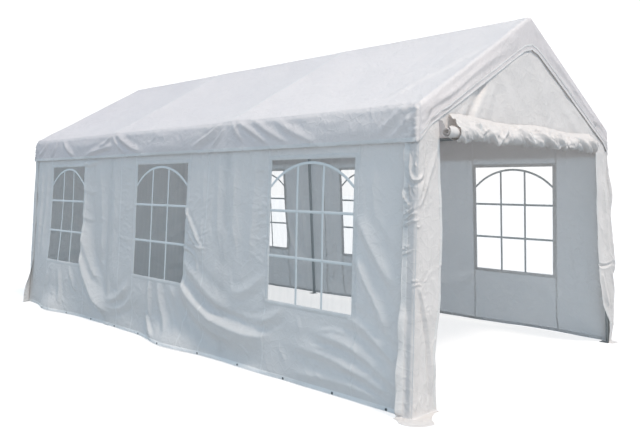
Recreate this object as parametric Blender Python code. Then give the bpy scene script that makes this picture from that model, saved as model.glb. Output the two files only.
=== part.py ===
"""White marquee tent, three bays long, 3 m by 6 m.

Four bent-tube frames with splayed legs stand 2 m apart. Three lines of rails
join them, and every pole end is pushed into a sleeve of a welded connector.
The two end frames lean a little towards the middle, with what hangs on them.
A roof cover with hanging valances lies on the rafters. Two side walls with
three window panes each and two end walls hang inside the valances. The door
of the front end wall is rolled up under the gable.

Metres, +Z up. X runs across the tent, the entrance faces -Y, and the origin
lies on the ground at the middle of the footprint.
"""

import math

import bmesh
import bpy
import numpy as np
from mathutils import Matrix, Vector

# Driving dimensions
BAY_LENGTH = 2.0
BAY_COUNT = 3
EAVE_HALF_WIDTH = 1.40
FOOT_HALF_WIDTH = 1.52
ROOF_EAVE_TOP = 2.0
ROOF_RIDGE_TOP = 2.8
VALANCE_HEM = 1.74
END_LEAN = 0.027
END_ZONE = 0.40
GAP = 0.0003

# Steel tube and connectors
POLE_RADIUS = 0.019
SLEEVE_RADIUS = 0.0215
SLEEVE_REACH = 0.095
POLE_STOP = 0.032
POLE_SIDES = 12
FOOT_PLATE_SIZE = 0.080
FOOT_PLATE_THICKNESS = 0.004

# Cloth
CLOTH = 0.005
ROOF_CLOTH = 0.006
HEM_CLEARANCE = 0.002
LAP = 0.0004
PANE_THICKNESS = 0.003

# Windows, measured up the wall from the ground
WINDOW_WIDTH = 0.88
WINDOW_SILL = 0.585
WINDOW_HEAD = 1.675

# End walls
RETURN_WIDTH = 0.10
GABLE_SEAM = 1.788
FLAP_THICKNESS = 0.006
FLAP_TIP_OUT = 0.165
FLAP_TIP_SIDE = 0.11
LEFT_DOOR_EDGE = ((0.0, 1.27), (0.35, 1.21), (1.0, 1.22), (GABLE_SEAM, 1.24))
RIGHT_DOOR_EDGE = ((0.0, 1.43), (0.42, 1.40), (1.0, 1.23), (GABLE_SEAM, 1.16))

# Gable valance, its lower edge from the corner up to the rounded apex
GABLE_VALANCE_KNEE = (1.32, 1.87)
GABLE_VALANCE_APEX = 2.535
GABLE_APEX_ROUNDING = 0.10

# Rolled door
ROLL_RADIUS = 0.080
ROLL_HEIGHT = 1.865
ROLL_LEFT_END = -1.24
ROLL_RIGHT_END = 1.16
ROLL_SIDES = 20

# Places worked out from the dimensions above
HALF_LENGTH = BAY_LENGTH * BAY_COUNT / 2
FRAME_PLACES = [BAY_LENGTH * index - HALF_LENGTH for index in range(BAY_COUNT + 1)]
BAY_CENTRES = [place + BAY_LENGTH / 2 for place in FRAME_PLACES[:-1]]

STANDOFF = SLEEVE_RADIUS + GAP
WALL_OUTER = STANDOFF + CLOTH
RETURN_INNER = WALL_OUTER + GAP
RETURN_OUTER = RETURN_INNER + CLOTH
PANEL_EDGE = RETURN_OUTER + LAP
VALANCE_INNER = PANEL_EDGE + GAP
VALANCE_OUTER = VALANCE_INNER + ROOF_CLOTH
ROOF_OUTER = STANDOFF + ROOF_CLOTH
GABLE_VALANCE_INNER = WALL_OUTER + GAP
GABLE_VALANCE_OUTER = GABLE_VALANCE_INNER + ROOF_CLOTH
ROOF_END = HALF_LENGTH + GABLE_VALANCE_OUTER + 2 * LAP


def frame_heights():
    """Heights of the eave and ridge axes that put the cloth at its stated heights."""
    rise = ROOF_RIDGE_TOP - ROOF_EAVE_TOP
    slope = math.atan2(rise, EAVE_HALF_WIDTH + VALANCE_OUTER)
    ridge = ROOF_RIDGE_TOP - ROOF_OUTER / math.cos(slope)
    eave = ridge - EAVE_HALF_WIDTH * math.tan(slope)
    return eave, ridge, slope


EAVE_HEIGHT, RIDGE_HEIGHT, ROOF_SLOPE = frame_heights()
LEG_SPLAY = math.atan2(FOOT_HALF_WIDTH - EAVE_HALF_WIDTH, EAVE_HEIGHT)


def leg_x(height, offset=0.0):
    """Distance from the middle of the tent to a line outside the right leg's axis."""
    axis = EAVE_HALF_WIDTH + (EAVE_HEIGHT - height) * math.tan(LEG_SPLAY)
    return axis + offset / math.cos(LEG_SPLAY)


def roof_z(x, offset=0.0):
    """Height of a line above the rafters' axis."""
    return RIDGE_HEIGHT - abs(x) * math.tan(ROOF_SLOPE) + offset / math.cos(ROOF_SLOPE)


def eave_corner(side_offset, roof_offset):
    """Where a line outside the leg meets a line above the rafter."""
    sides = np.array([
        [math.cos(LEG_SPLAY), math.sin(LEG_SPLAY)],
        [math.sin(ROOF_SLOPE), math.cos(ROOF_SLOPE)],
    ])
    x, z = np.linalg.solve(sides, (side_offset, roof_offset))
    return EAVE_HALF_WIDTH + x, EAVE_HEIGHT + z


# Materials
def make_material(name, colour, roughness, metallic=0.0, alpha=1.0):
    material = bpy.data.materials.new(name)
    material.use_nodes = True
    shader = material.node_tree.nodes["Principled BSDF"]
    shader.inputs["Base Color"].default_value = (*colour, 1.0)
    shader.inputs["Roughness"].default_value = roughness
    shader.inputs["Metallic"].default_value = metallic
    shader.inputs["Alpha"].default_value = alpha
    material.diffuse_color = (*colour, alpha)
    return material


# Making and joining solids
def new_solid(name, mesh_bmesh, material):
    """Turn a bmesh into a named object with its faces pointing out."""
    bmesh.ops.recalc_face_normals(mesh_bmesh, faces=mesh_bmesh.faces)
    mesh = bpy.data.meshes.new(name)
    mesh_bmesh.to_mesh(mesh)
    mesh_bmesh.free()
    mesh.materials.append(material)
    solid = bpy.data.objects.new(name, mesh)
    bpy.context.scene.collection.objects.link(solid)
    return solid


def rod(name, start, end, radius, material):
    """A round bar from start to end, with many-sided ends."""
    axis = Vector(end) - Vector(start)
    shape = bmesh.new()
    bmesh.ops.create_cone(
        shape, cap_ends=True, segments=POLE_SIDES,
        radius1=radius, radius2=radius, depth=axis.length,
    )
    bmesh.ops.translate(shape, verts=shape.verts, vec=(0, 0, axis.length / 2))
    solid = new_solid(name, shape, material)
    solid.location = start
    solid.rotation_euler = axis.to_track_quat("Z", "Y").to_euler()
    solid.data.shade_smooth()
    solid.data.set_sharp_from_angle(angle=math.radians(40))
    return solid


def prism(name, outline, depth, to_world, material):
    """A flat outline given depth, then put in place by a matrix."""
    shape = bmesh.new()
    corners = [shape.verts.new((across, up, 0.0)) for across, up in outline]
    face = shape.faces.new(corners)
    grown = bmesh.ops.extrude_face_region(shape, geom=[face])
    raised = [item for item in grown["geom"] if isinstance(item, bmesh.types.BMVert)]
    bmesh.ops.translate(shape, verts=raised, vec=(0, 0, depth))
    bmesh.ops.transform(shape, matrix=to_world, verts=shape.verts)
    return new_solid(name, shape, material)


def combine(solid, others, operation):
    """Union with, or cut by, other solids, which are used up."""
    for other in others:
        modifier = solid.modifiers.new(operation.lower(), "BOOLEAN")
        modifier.operation = operation
        modifier.object = other
    bpy.context.view_layer.update()
    evaluated = solid.evaluated_get(bpy.context.evaluated_depsgraph_get())
    result = bpy.data.meshes.new_from_object(evaluated)
    solid.modifiers.clear()
    solid.data = result
    for other in others:
        bpy.data.objects.remove(other)
    return solid


def upright_plane(y, facing):
    """Outline x and z stay x and z, and depth runs along Y towards facing."""
    return Matrix(((1, 0, 0, 0), (0, 0, facing, y), (0, 1, 0, 0), (0, 0, 0, 1)))


def side_plane(side, offset):
    """Outline y stays y, height runs up the splayed wall, and depth runs outward."""
    up = Vector((-side * math.sin(LEG_SPLAY), 0.0, math.cos(LEG_SPLAY)))
    out = Vector((side * math.cos(LEG_SPLAY), 0.0, math.sin(LEG_SPLAY)))
    foot = Vector((side * FOOT_HALF_WIDTH, 0.0, 0.0)) + out * offset
    return Matrix((
        (0, up.x, out.x, foot.x),
        (1, up.y, out.y, foot.y),
        (0, up.z, out.z, foot.z),
        (0, 0, 0, 1),
    ))


def rectangle(low_across, low_up, high_across, high_up):
    return [
        (low_across, low_up), (high_across, low_up),
        (high_across, high_up), (low_across, high_up),
    ]


def up_wall(height, offset):
    """Length up the splayed plane at an offset that reaches a height."""
    return (height - offset * math.sin(LEG_SPLAY)) / math.cos(LEG_SPLAY)


# Frame
def frame_points(side, place):
    """Axis points of one half frame: foot, eave and ridge."""
    foot = Vector((side * FOOT_HALF_WIDTH, place, 0.0))
    eave = Vector((side * EAVE_HALF_WIDTH, place, EAVE_HEIGHT))
    ridge = Vector((0.0, place, RIDGE_HEIGHT))
    return foot, eave, ridge


def from_joint(joint, towards, distance):
    """A point on the way from one joint to another."""
    return joint + (towards - joint).normalized() * distance


def rail_neighbours(point, index):
    """The same point on the frames before and after this one."""
    step = Vector((0.0, BAY_LENGTH, 0.0))
    neighbours = []
    if index > 0:
        neighbours.append(point - step)
    if index < BAY_COUNT:
        neighbours.append(point + step)
    return neighbours


def make_connector(name, joint, ends, steel):
    """Welded sleeves that reach from one joint towards each pole's far end."""
    sleeves = [
        rod("sleeve", joint, from_joint(joint, end, SLEEVE_REACH), SLEEVE_RADIUS, steel)
        for end in ends
    ]
    bores = [
        rod(
            "bore",
            from_joint(joint, end, POLE_STOP - GAP),
            from_joint(joint, end, SLEEVE_REACH + POLE_RADIUS),
            POLE_RADIUS + GAP, steel,
        )
        for end in ends
    ]
    connector = combine(sleeves[0], sleeves[1:], "UNION")
    combine(connector, bores, "DIFFERENCE")
    connector.name = name
    connector.data.name = name
    connector.data.shade_smooth()
    connector.data.set_sharp_from_angle(angle=math.radians(40))
    return connector


def make_pole(name, first_joint, second_joint, steel):
    """A pole whose ends stop inside the sleeves of the connectors at both joints."""
    start = from_joint(first_joint, second_joint, POLE_STOP)
    end = from_joint(second_joint, first_joint, POLE_STOP)
    return rod(name, start, end, POLE_RADIUS, steel)


def make_leg(name, side, index, steel):
    """A splayed leg on a flat foot plate that points into the tent."""
    place = FRAME_PLACES[index]
    foot, eave, _ = frame_points(side, place)
    pole_foot = from_joint(foot, eave, FOOT_PLATE_THICKNESS * 0.7)
    leg = rod(name, pole_foot, from_joint(eave, foot, POLE_STOP), POLE_RADIUS, steel)

    outer_edge = FOOT_HALF_WIDTH + SLEEVE_RADIUS - 2 * GAP
    inner_edge = outer_edge - FOOT_PLATE_SIZE
    low_y = place - FOOT_PLATE_SIZE / 2
    if index == 0:
        low_y = place - SLEEVE_RADIUS + 2 * GAP
    if index == BAY_COUNT:
        low_y = place + SLEEVE_RADIUS - 2 * GAP - FOOT_PLATE_SIZE
    edges = sorted((side * inner_edge, side * outer_edge))
    outline = rectangle(edges[0], low_y, edges[1], low_y + FOOT_PLATE_SIZE)
    plate = prism("plate", outline, FOOT_PLATE_THICKNESS, Matrix(), steel)
    combine(leg, [plate], "UNION")
    return leg


def make_frame(steel):
    for index, place in enumerate(FRAME_PLACES):
        number = index + 1
        for side, side_name in ((-1, "left"), (1, "right")):
            foot, eave, ridge = frame_points(side, place)
            make_leg(f"leg_{side_name}_{number}", side, index, steel)
            make_pole(f"rafter_{side_name}_{number}", eave, ridge, steel)
            ends = [foot, ridge] + rail_neighbours(eave, index)
            make_connector(f"eave_connector_{side_name}_{number}", eave, ends, steel)
        eaves = [frame_points(side, place)[1] for side in (-1, 1)]
        ends = eaves + rail_neighbours(ridge, index)
        make_connector(f"ridge_connector_{number}", ridge, ends, steel)


def make_rails(steel):
    for bay in range(BAY_COUNT):
        near, far = FRAME_PLACES[bay], FRAME_PLACES[bay + 1]
        for side, side_name in ((-1, "left"), (1, "right")):
            near_eave = frame_points(side, near)[1]
            far_eave = frame_points(side, far)[1]
            make_pole(f"eave_rail_{side_name}_{bay + 1}", near_eave, far_eave, steel)
        near_ridge = frame_points(1, near)[2]
        far_ridge = frame_points(1, far)[2]
        make_pole(f"ridge_rail_{bay + 1}", near_ridge, far_ridge, steel)


# Roof cover
def mirrored(points):
    """A half outline that starts at the right, with its mirror image added."""
    return points + [(-x, z) for x, z in reversed(points) if abs(x) > 1e-6]


def gable_valance_outline():
    """Band under the roof edge at a gable, with a rounded peak in its lower edge."""
    knee_x, knee_z = GABLE_VALANCE_KNEE
    fall = (GABLE_VALANCE_APEX + 0.5 * GABLE_APEX_ROUNDING * 0.5 - knee_z) / knee_x
    side = VALANCE_INNER + ROOF_CLOTH / 2
    corner_x, corner_z = eave_corner(side, STANDOFF + ROOF_CLOTH / 2)
    hem_z = VALANCE_HEM + LAP
    ridge_z = roof_z(0.0, STANDOFF + ROOF_CLOTH / 2)
    upper = [(leg_x(hem_z, side), hem_z), (corner_x, corner_z), (0.0, ridge_z)]
    lower = [(1.40, hem_z), (knee_x, knee_z)]
    for share in (1.0, 0.7, 0.4, 0.15):
        x = GABLE_APEX_ROUNDING * share
        straight = knee_z + fall * (knee_x - x)
        rounding = 0.5 * fall * GABLE_APEX_ROUNDING * (1 - share) ** 2
        lower.append((x, straight - rounding))
    right_lower = lower + [(-x, z) for x, z in reversed(lower)]
    left_upper = [(-x, z) for x, z in upper[:-1]]
    return right_lower + left_upper + [upper[2]] + list(reversed(upper[:-1]))


def make_roof_cover(cloth):
    outer_eave = eave_corner(VALANCE_OUTER, ROOF_OUTER)
    inner_eave = eave_corner(VALANCE_INNER, STANDOFF)
    outer = mirrored([
        (leg_x(VALANCE_HEM, VALANCE_OUTER), VALANCE_HEM),
        outer_eave,
        (0.0, roof_z(0.0, ROOF_OUTER)),
    ])
    inner = mirrored([
        (leg_x(VALANCE_HEM, VALANCE_INNER), VALANCE_HEM),
        inner_eave,
        (0.0, roof_z(0.0, STANDOFF)),
    ])
    outline = outer + list(reversed(inner))
    length = 2 * ROOF_END
    cover = prism("roof_cover", outline, length, upright_plane(-ROOF_END, 1), cloth)
    valances = []
    for end in (-1, 1):
        place = end * (HALF_LENGTH + GABLE_VALANCE_INNER)
        plane = upright_plane(place, end)
        valances.append(
            prism("gable_valance", gable_valance_outline(), ROOF_CLOTH, plane, cloth)
        )
    combine(cover, valances, "UNION")
    return cover


# Side walls and windows
def make_side_wall(side, side_name, cloth, clear):
    end = HALF_LENGTH + STANDOFF - GAP
    foot = up_wall(HEM_CLEARANCE, STANDOFF)
    wall_outline = rectangle(-end, foot, end, up_wall(EAVE_HEIGHT, STANDOFF))
    wall_plane = side_plane(side, STANDOFF)
    wall = prism(f"side_wall_{side_name}", wall_outline, CLOTH, wall_plane, cloth)
    cutters = []
    for bay, centre in enumerate(BAY_CENTRES):
        left, right = centre - WINDOW_WIDTH / 2, centre + WINDOW_WIDTH / 2
        hole = rectangle(left, WINDOW_SILL, right, WINDOW_HEAD)
        cutter_plane = side_plane(side, STANDOFF - CLOTH)
        cutters.append(prism("window_hole", hole, 3 * CLOTH, cutter_plane, cloth))
        pane = rectangle(left + GAP, WINDOW_SILL + GAP, right - GAP, WINDOW_HEAD - GAP)
        pane_plane = side_plane(side, STANDOFF + (CLOTH - PANE_THICKNESS) / 2)
        prism(f"window_{side_name}_{bay + 1}", pane, PANE_THICKNESS, pane_plane, clear)
    combine(wall, cutters, "DIFFERENCE")
    return wall


# End walls
def corner_pieces(side, end, cloth):
    """Return along the side wall and flap on the ground at one corner."""
    end_y = end * (HALF_LENGTH + STANDOFF + CLOTH / 2)
    inner_y = end * (HALF_LENGTH + STANDOFF - RETURN_WIDTH)
    low_y, high_y = sorted((end_y, inner_y))
    foot = up_wall(HEM_CLEARANCE + LAP, RETURN_INNER)
    top = up_wall(GABLE_SEAM - LAP, RETURN_OUTER)
    outline = rectangle(low_y, foot, high_y, top)
    plane = side_plane(side, RETURN_INNER)
    return_strip = prism("return", outline, CLOTH, plane, cloth)

    foot_x = leg_x(0.0, RETURN_INNER + CLOTH / 2)
    panel_y = HALF_LENGTH + STANDOFF + CLOTH / 2
    tip_y = HALF_LENGTH + FLAP_TIP_OUT + STANDOFF
    flap = [
        (foot_x - 0.19, panel_y),
        (foot_x - 0.13, panel_y + 0.07),
        (foot_x - 0.02, tip_y),
        (foot_x + FLAP_TIP_SIDE, panel_y + 0.01),
        (foot_x, HALF_LENGTH - 0.06),
        (foot_x, panel_y),
    ]
    corners = [(side * x, end * y) for x, y in flap]
    ground_flap = prism("flap", corners, FLAP_THICKNESS, Matrix(), cloth)
    return [return_strip, ground_flap]


def make_front_strip(side, side_name, door_edge, cloth):
    """Narrow cloth strip beside the doorway, wrapped round the corner leg."""
    outer = [
        (leg_x(GABLE_SEAM, PANEL_EDGE), GABLE_SEAM),
        (leg_x(HEM_CLEARANCE, PANEL_EDGE), HEM_CLEARANCE),
    ]
    inner = [(x, max(z, HEM_CLEARANCE)) for z, x in door_edge]
    outline = [(side * x, z) for x, z in outer + inner]
    plane = upright_plane(-(HALF_LENGTH + STANDOFF), -1)
    strip = prism(f"front_wall_{side_name}", outline, CLOTH, plane, cloth)
    combine(strip, corner_pieces(side, -1, cloth), "UNION")
    return strip


def gable_outline(bottom):
    """Triangle of wall between a level seam and the underside of the roof."""
    eave = eave_corner(PANEL_EDGE, STANDOFF - GAP)
    right = [(leg_x(bottom, PANEL_EDGE), bottom), eave, (0.0, roof_z(0.0, STANDOFF - GAP))]
    return mirrored(right)


def make_front_gable(cloth):
    plane = upright_plane(-(HALF_LENGTH + STANDOFF), -1)
    return prism("front_gable", gable_outline(GABLE_SEAM + GAP), CLOTH, plane, cloth)


def make_back_wall(cloth):
    """Closed end wall in one piece, wrapped round both corner legs."""
    plane = upright_plane(HALF_LENGTH + STANDOFF, 1)
    wall = prism("back_wall", gable_outline(HEM_CLEARANCE), CLOTH, plane, cloth)
    corners = corner_pieces(-1, 1, cloth) + corner_pieces(1, 1, cloth)
    combine(wall, corners, "UNION")
    return wall


def make_rolled_door(cloth):
    """Door cloth rolled up under the gable, against the gable panel."""
    centre_y = -(HALF_LENGTH + WALL_OUTER + GAP + ROLL_RADIUS)
    shape = bmesh.new()
    length = ROLL_RIGHT_END - ROLL_LEFT_END
    bmesh.ops.create_cone(
        shape, cap_ends=True, segments=ROLL_SIDES,
        radius1=ROLL_RADIUS, radius2=ROLL_RADIUS, depth=length,
    )
    roll = new_solid("rolled_door", shape, cloth)
    roll.location = ((ROLL_LEFT_END + ROLL_RIGHT_END) / 2, centre_y, ROLL_HEIGHT)
    roll.rotation_euler = (0.0, math.radians(90), 0.0)
    roll.data.shade_smooth()
    roll.data.set_sharp_from_angle(angle=math.radians(40))
    return roll


def lean_ends(solid):
    """Lean what stands at the tent's ends inwards, more the higher it is."""
    to_solid = solid.matrix_world.inverted()
    for vertex in solid.data.vertices:
        place = solid.matrix_world @ vertex.co
        if abs(place.y) > HALF_LENGTH - END_ZONE:
            place.y -= math.copysign(END_LEAN * place.z, place.y)
            vertex.co = to_solid @ place
    solid.data.update()


def build_tent():
    for old in list(bpy.data.objects):
        bpy.data.objects.remove(old)
    steel = make_material("galvanised_steel", (0.46, 0.48, 0.48), 0.42, metallic=0.8)
    roof_cloth = make_material("roof_cloth", (0.82, 0.83, 0.87), 0.45)
    wall_cloth = make_material("wall_cloth", (0.66, 0.70, 0.76), 0.50)
    clear = make_material("clear_sheet", (0.60, 0.66, 0.66), 0.12, alpha=0.35)

    make_frame(steel)
    make_rails(steel)
    make_roof_cover(roof_cloth)
    make_side_wall(-1, "left", wall_cloth, clear)
    make_side_wall(1, "right", wall_cloth, clear)
    make_front_strip(-1, "left", LEFT_DOOR_EDGE, wall_cloth)
    make_front_strip(1, "right", RIGHT_DOOR_EDGE, wall_cloth)
    make_front_gable(wall_cloth)
    make_rolled_door(wall_cloth)
    make_back_wall(wall_cloth)

    bpy.context.view_layer.update()
    for solid in bpy.data.objects:
        lean_ends(solid)


build_tent()
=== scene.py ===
import math

import bmesh
import bpy
import numpy as np
from mathutils import Matrix, Vector


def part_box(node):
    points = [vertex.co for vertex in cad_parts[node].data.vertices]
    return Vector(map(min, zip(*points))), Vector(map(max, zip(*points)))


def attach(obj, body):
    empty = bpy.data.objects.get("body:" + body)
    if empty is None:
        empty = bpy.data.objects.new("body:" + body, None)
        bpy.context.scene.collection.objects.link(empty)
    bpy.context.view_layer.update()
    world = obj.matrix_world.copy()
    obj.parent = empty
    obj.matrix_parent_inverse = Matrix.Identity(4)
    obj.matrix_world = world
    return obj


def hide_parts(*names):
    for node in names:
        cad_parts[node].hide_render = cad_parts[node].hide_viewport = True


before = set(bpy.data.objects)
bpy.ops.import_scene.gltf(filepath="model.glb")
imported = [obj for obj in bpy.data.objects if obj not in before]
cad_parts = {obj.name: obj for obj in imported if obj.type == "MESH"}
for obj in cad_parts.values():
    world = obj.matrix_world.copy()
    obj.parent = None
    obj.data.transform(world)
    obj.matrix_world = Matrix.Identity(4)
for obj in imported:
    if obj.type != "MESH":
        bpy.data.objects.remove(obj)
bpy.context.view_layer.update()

scene = bpy.context.scene


# The studio
# The tent stands on a plain pale floor in even white light, brighter from above
# and from the entrance side, and cooler from the sides.

class Nodes:
    """A node tree put together node by node."""

    def __init__(self, tree):
        self.tree = tree

    def node(self, kind, settings=None, sockets=None, output=0):
        """Add a node: its settings first, then the values or links of its sockets."""
        node = self.tree.nodes.new(kind)
        for name, value in (settings or {}).items():
            setattr(node, name, value)
        for name, value in (sockets or {}).items():
            for one in value if isinstance(value, list) else [value]:
                if isinstance(one, Wave):
                    self.tree.links.new(one.socket, node.inputs[name])
                else:
                    node.inputs[name].default_value = one
        return Wave(self, node.outputs[output])


class Finish(Nodes):
    """One material."""

    def __init__(self, name):
        self.material = bpy.data.materials.new(name)
        self.material.use_nodes = True
        super().__init__(self.material.node_tree)
        self.tree.nodes.clear()
        self.end = self.tree.nodes.new("ShaderNodeOutputMaterial")

    def surface(self, shader):
        self.tree.links.new(shader.socket, self.end.inputs["Surface"])
        return self.material

    def mix(self, share, first, second):
        """A colour between two colours."""
        sockets = {"Factor": share, "A": first, "B": second}
        return self.node("ShaderNodeMix", {"data_type": "RGBA"}, sockets, "Result")


class Wave:
    """A value that varies over a surface and is written in sums like a number."""

    def __init__(self, nodes, socket):
        self.nodes = nodes
        self.socket = socket

    def sum(self, operation, first, second):
        sockets = {0: first, 1: second}
        return self.nodes.node("ShaderNodeMath", {"operation": operation}, sockets)

    def __add__(self, other):
        return self.sum("ADD", self, other)

    def __radd__(self, other):
        return self.sum("ADD", other, self)

    def __sub__(self, other):
        return self.sum("SUBTRACT", self, other)

    def __rsub__(self, other):
        return self.sum("SUBTRACT", other, self)

    def __mul__(self, other):
        return self.sum("MULTIPLY", self, other)

    def __rmul__(self, other):
        return self.sum("MULTIPLY", other, self)

    def __truediv__(self, other):
        return self.sum("DIVIDE", self, other)

    def __pow__(self, other):
        return self.sum("POWER", self, other)


def floor_finish():
    """A pale floor that looks brighter than the light it throws back at the tent."""
    finish = Finish("pale_floor")
    place = finish.node("ShaderNodeTexCoord", output="Object")
    cloud = finish.node(
        "ShaderNodeTexNoise", sockets={"Vector": place, "Scale": 0.8, "Detail": 3.0}
    )
    seen_shade = finish.mix(cloud, (0.32, 0.32, 0.32, 1), (0.36, 0.36, 0.36, 1))
    seen = finish.node("ShaderNodeBsdfPrincipled", sockets={
        "Base Color": seen_shade, "Roughness": 0.9, "Specular IOR Level": 0.1,
        "Emission Color": (1, 1, 1, 1), "Emission Strength": 0.74,
    })
    unseen = finish.node("ShaderNodeBsdfDiffuse", sockets={"Color": (0.40, 0.42, 0.43, 1)})
    to_camera = finish.node("ShaderNodeLightPath", output="Is Camera Ray")
    return finish.surface(finish.node(
        "ShaderNodeMixShader", sockets={0: to_camera, 1: unseen, 2: seen}
    ))


def make_floor():
    reach = 60.0
    floor_bmesh = bmesh.new()
    bmesh.ops.create_grid(floor_bmesh, x_segments=2, y_segments=2, size=reach)
    mesh = bpy.data.meshes.new("floor")
    floor_bmesh.to_mesh(mesh)
    floor_bmesh.free()
    mesh.materials.append(floor_finish())
    floor = bpy.data.objects.new("floor", mesh)
    scene.collection.objects.link(floor)


def make_world():
    """Cool even light from all round, with a white backdrop behind the tent."""
    world = bpy.data.worlds.new("studio")
    world.use_nodes = True
    scene.world = world
    tree = world.node_tree
    light = tree.nodes["Background"]
    light.inputs["Color"].default_value = (0.665, 0.825, 0.99, 1)
    light.inputs["Strength"].default_value = 0.87
    backdrop = tree.nodes.new("ShaderNodeBackground")
    backdrop.inputs["Color"].default_value = (1, 1, 1, 1)
    backdrop.inputs["Strength"].default_value = 1.2
    path = tree.nodes.new("ShaderNodeLightPath")
    either = tree.nodes.new("ShaderNodeMixShader")
    tree.links.new(path.outputs["Is Camera Ray"], either.inputs[0])
    tree.links.new(light.outputs[0], either.inputs[1])
    tree.links.new(backdrop.outputs[0], either.inputs[2])
    tree.links.new(either.outputs[0], tree.nodes["World Output"].inputs["Surface"])


def make_sun(name, direction, strength, softness, colour):
    sun = bpy.data.lights.new(name, "SUN")
    sun.energy = strength
    sun.angle = math.radians(softness)
    sun.color = colour
    lamp = bpy.data.objects.new(name, sun)
    scene.collection.objects.link(lamp)
    lamp.rotation_euler = Vector(direction).to_track_quat("-Z", "Y").to_euler()


def make_camera():
    """The photograph's view: from the entrance corner, a little under eye height."""
    place = Vector((-4.924, -5.602, 1.485))
    turn, tip, roll = (math.radians(angle) for angle in (44.751, -3.173, 0.236))
    ahead = Vector((math.sin(turn) * math.cos(tip), math.cos(turn) * math.cos(tip), math.sin(tip)))
    level = Vector((math.cos(turn), -math.sin(turn), 0.0))
    upward = level.cross(ahead)
    right = level * math.cos(roll) + upward * math.sin(roll)
    up = upward * math.cos(roll) - level * math.sin(roll)
    camera_data = bpy.data.cameras.new("camera")
    camera_data.sensor_width = 36.0
    camera_data.lens = 38.18
    camera = bpy.data.objects.new("camera", camera_data)
    scene.collection.objects.link(camera)
    turned = Matrix((right, up, -ahead)).transposed().to_4x4()
    camera.matrix_world = Matrix.Translation(place) @ turned
    scene.camera = camera


scene.view_settings.view_transform = "Standard"
make_floor()
make_world()
make_sun("key", (0.0, 0.53, -0.85), 2.6, 12, (1.0, 0.89, 0.79))
make_camera()


# The tube frame
# Zinc-coated steel tube of 38 mm, pushed into welded sleeves at the eaves and the
# ridge and held by friction. The splayed legs end in square foot plates.

def steel_finish():
    finish = Finish("zinc_coated_tube")
    place = finish.node("ShaderNodeTexCoord", output="Object")
    flakes = finish.node(
        "ShaderNodeTexVoronoi", {"feature": "F1"}, {"Vector": place, "Scale": 90.0}, "Color"
    )
    grey = finish.node("ShaderNodeRGBToBW", sockets={"Color": flakes})
    cloud = finish.node(
        "ShaderNodeTexNoise", sockets={"Vector": place, "Scale": 7.0, "Detail": 4.0}
    )
    shade = finish.mix(
        grey * 0.6 + cloud * 0.4, (0.33, 0.35, 0.35, 1), (0.50, 0.52, 0.53, 1)
    )
    bump = finish.node(
        "ShaderNodeBump", sockets={"Strength": 0.15, "Distance": 0.0005, "Height": cloud}
    )
    return finish.surface(finish.node("ShaderNodeBsdfPrincipled", sockets={
        "Base Color": shade, "Roughness": 0.34 + 0.18 * grey, "Metallic": 0.75, "Normal": bump,
    }))


steel = steel_finish()
CLOTH_NODES = ("roof", "side_wall", "window", "front", "back_wall", "rolled")
for node_name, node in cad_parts.items():
    if not node_name.startswith(CLOTH_NODES):
        node.data.materials.clear()
        node.data.materials.append(steel)


# The side walls
# Coated white tarpaulin, hooked over the eave rails inside the valance, pulled out
# over the splayed legs and pegged at eyelets along the hem. It hangs slack, so it
# falls in swags between the windows.

class Cloth:
    """A sheet of tarpaulin that knows where each place of its flat cut hangs."""

    def __init__(self, place, shapes, lowest=None, highest=None):
        self.place = place
        self.shapes = shapes
        self.lowest = lowest
        self.highest = highest

    def lift(self, across, up):
        """How far a place stands out from the sheet's plain surface."""
        total = np.zeros(np.shape(across))
        for shape in self.shapes:
            total = total + shape(across, up)
        if self.lowest is not None:
            total = soft_most(total, self.lowest(across, up), 0.004)
        if self.highest is not None:
            total = -soft_most(-total, -self.highest(across, up), 0.004)
        return total

    def at(self, across, up, above=0.0):
        across, up = np.broadcast_arrays(
            np.asarray(across, float), np.asarray(up, float)
        )
        return self.place(across, up, self.lift(across, up) + above)

    def frames(self, across, up, above, heading=(1.0, 0.0)):
        """Places on the cloth, the way it faces there, and the way a seam runs."""
        middle = self.at(across, up, above)
        facing = self.at(across, up, above + 0.01) - middle
        step = 0.004 * np.asarray(heading)
        along = self.at(across + step[0], up + step[1], above) - middle
        return [each / np.linalg.norm(each, axis=-1)[..., None] for each in (facing, along)] + [middle]


def soft_most(first, second, blend):
    """The larger of two values, rounded where they cross."""
    apart = first - second
    return (first + second + np.sqrt(apart ** 2 + blend ** 2)) / 2


def smooth_line(points, count=40):
    """A rounded line through a few points."""
    points = np.asarray(points, float)
    ends = np.vstack([2 * points[0] - points[1], points, 2 * points[-1] - points[-2]])
    places = np.linspace(0, len(points) - 1 - 1e-9, count)
    piece = places.astype(int)
    share = (places - piece)[:, None]
    before, start, end, after = (ends[piece + step] for step in range(4))
    return 0.5 * (
        2 * start
        + (end - before) * share
        + (2 * before - 5 * start + 4 * end - after) * share ** 2
        + (3 * start - before - 3 * end + after) * share ** 3
    )


def ease(value):
    value = np.clip(value, 0.0, 1.0)
    return value * value * (3 - 2 * value)


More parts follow.
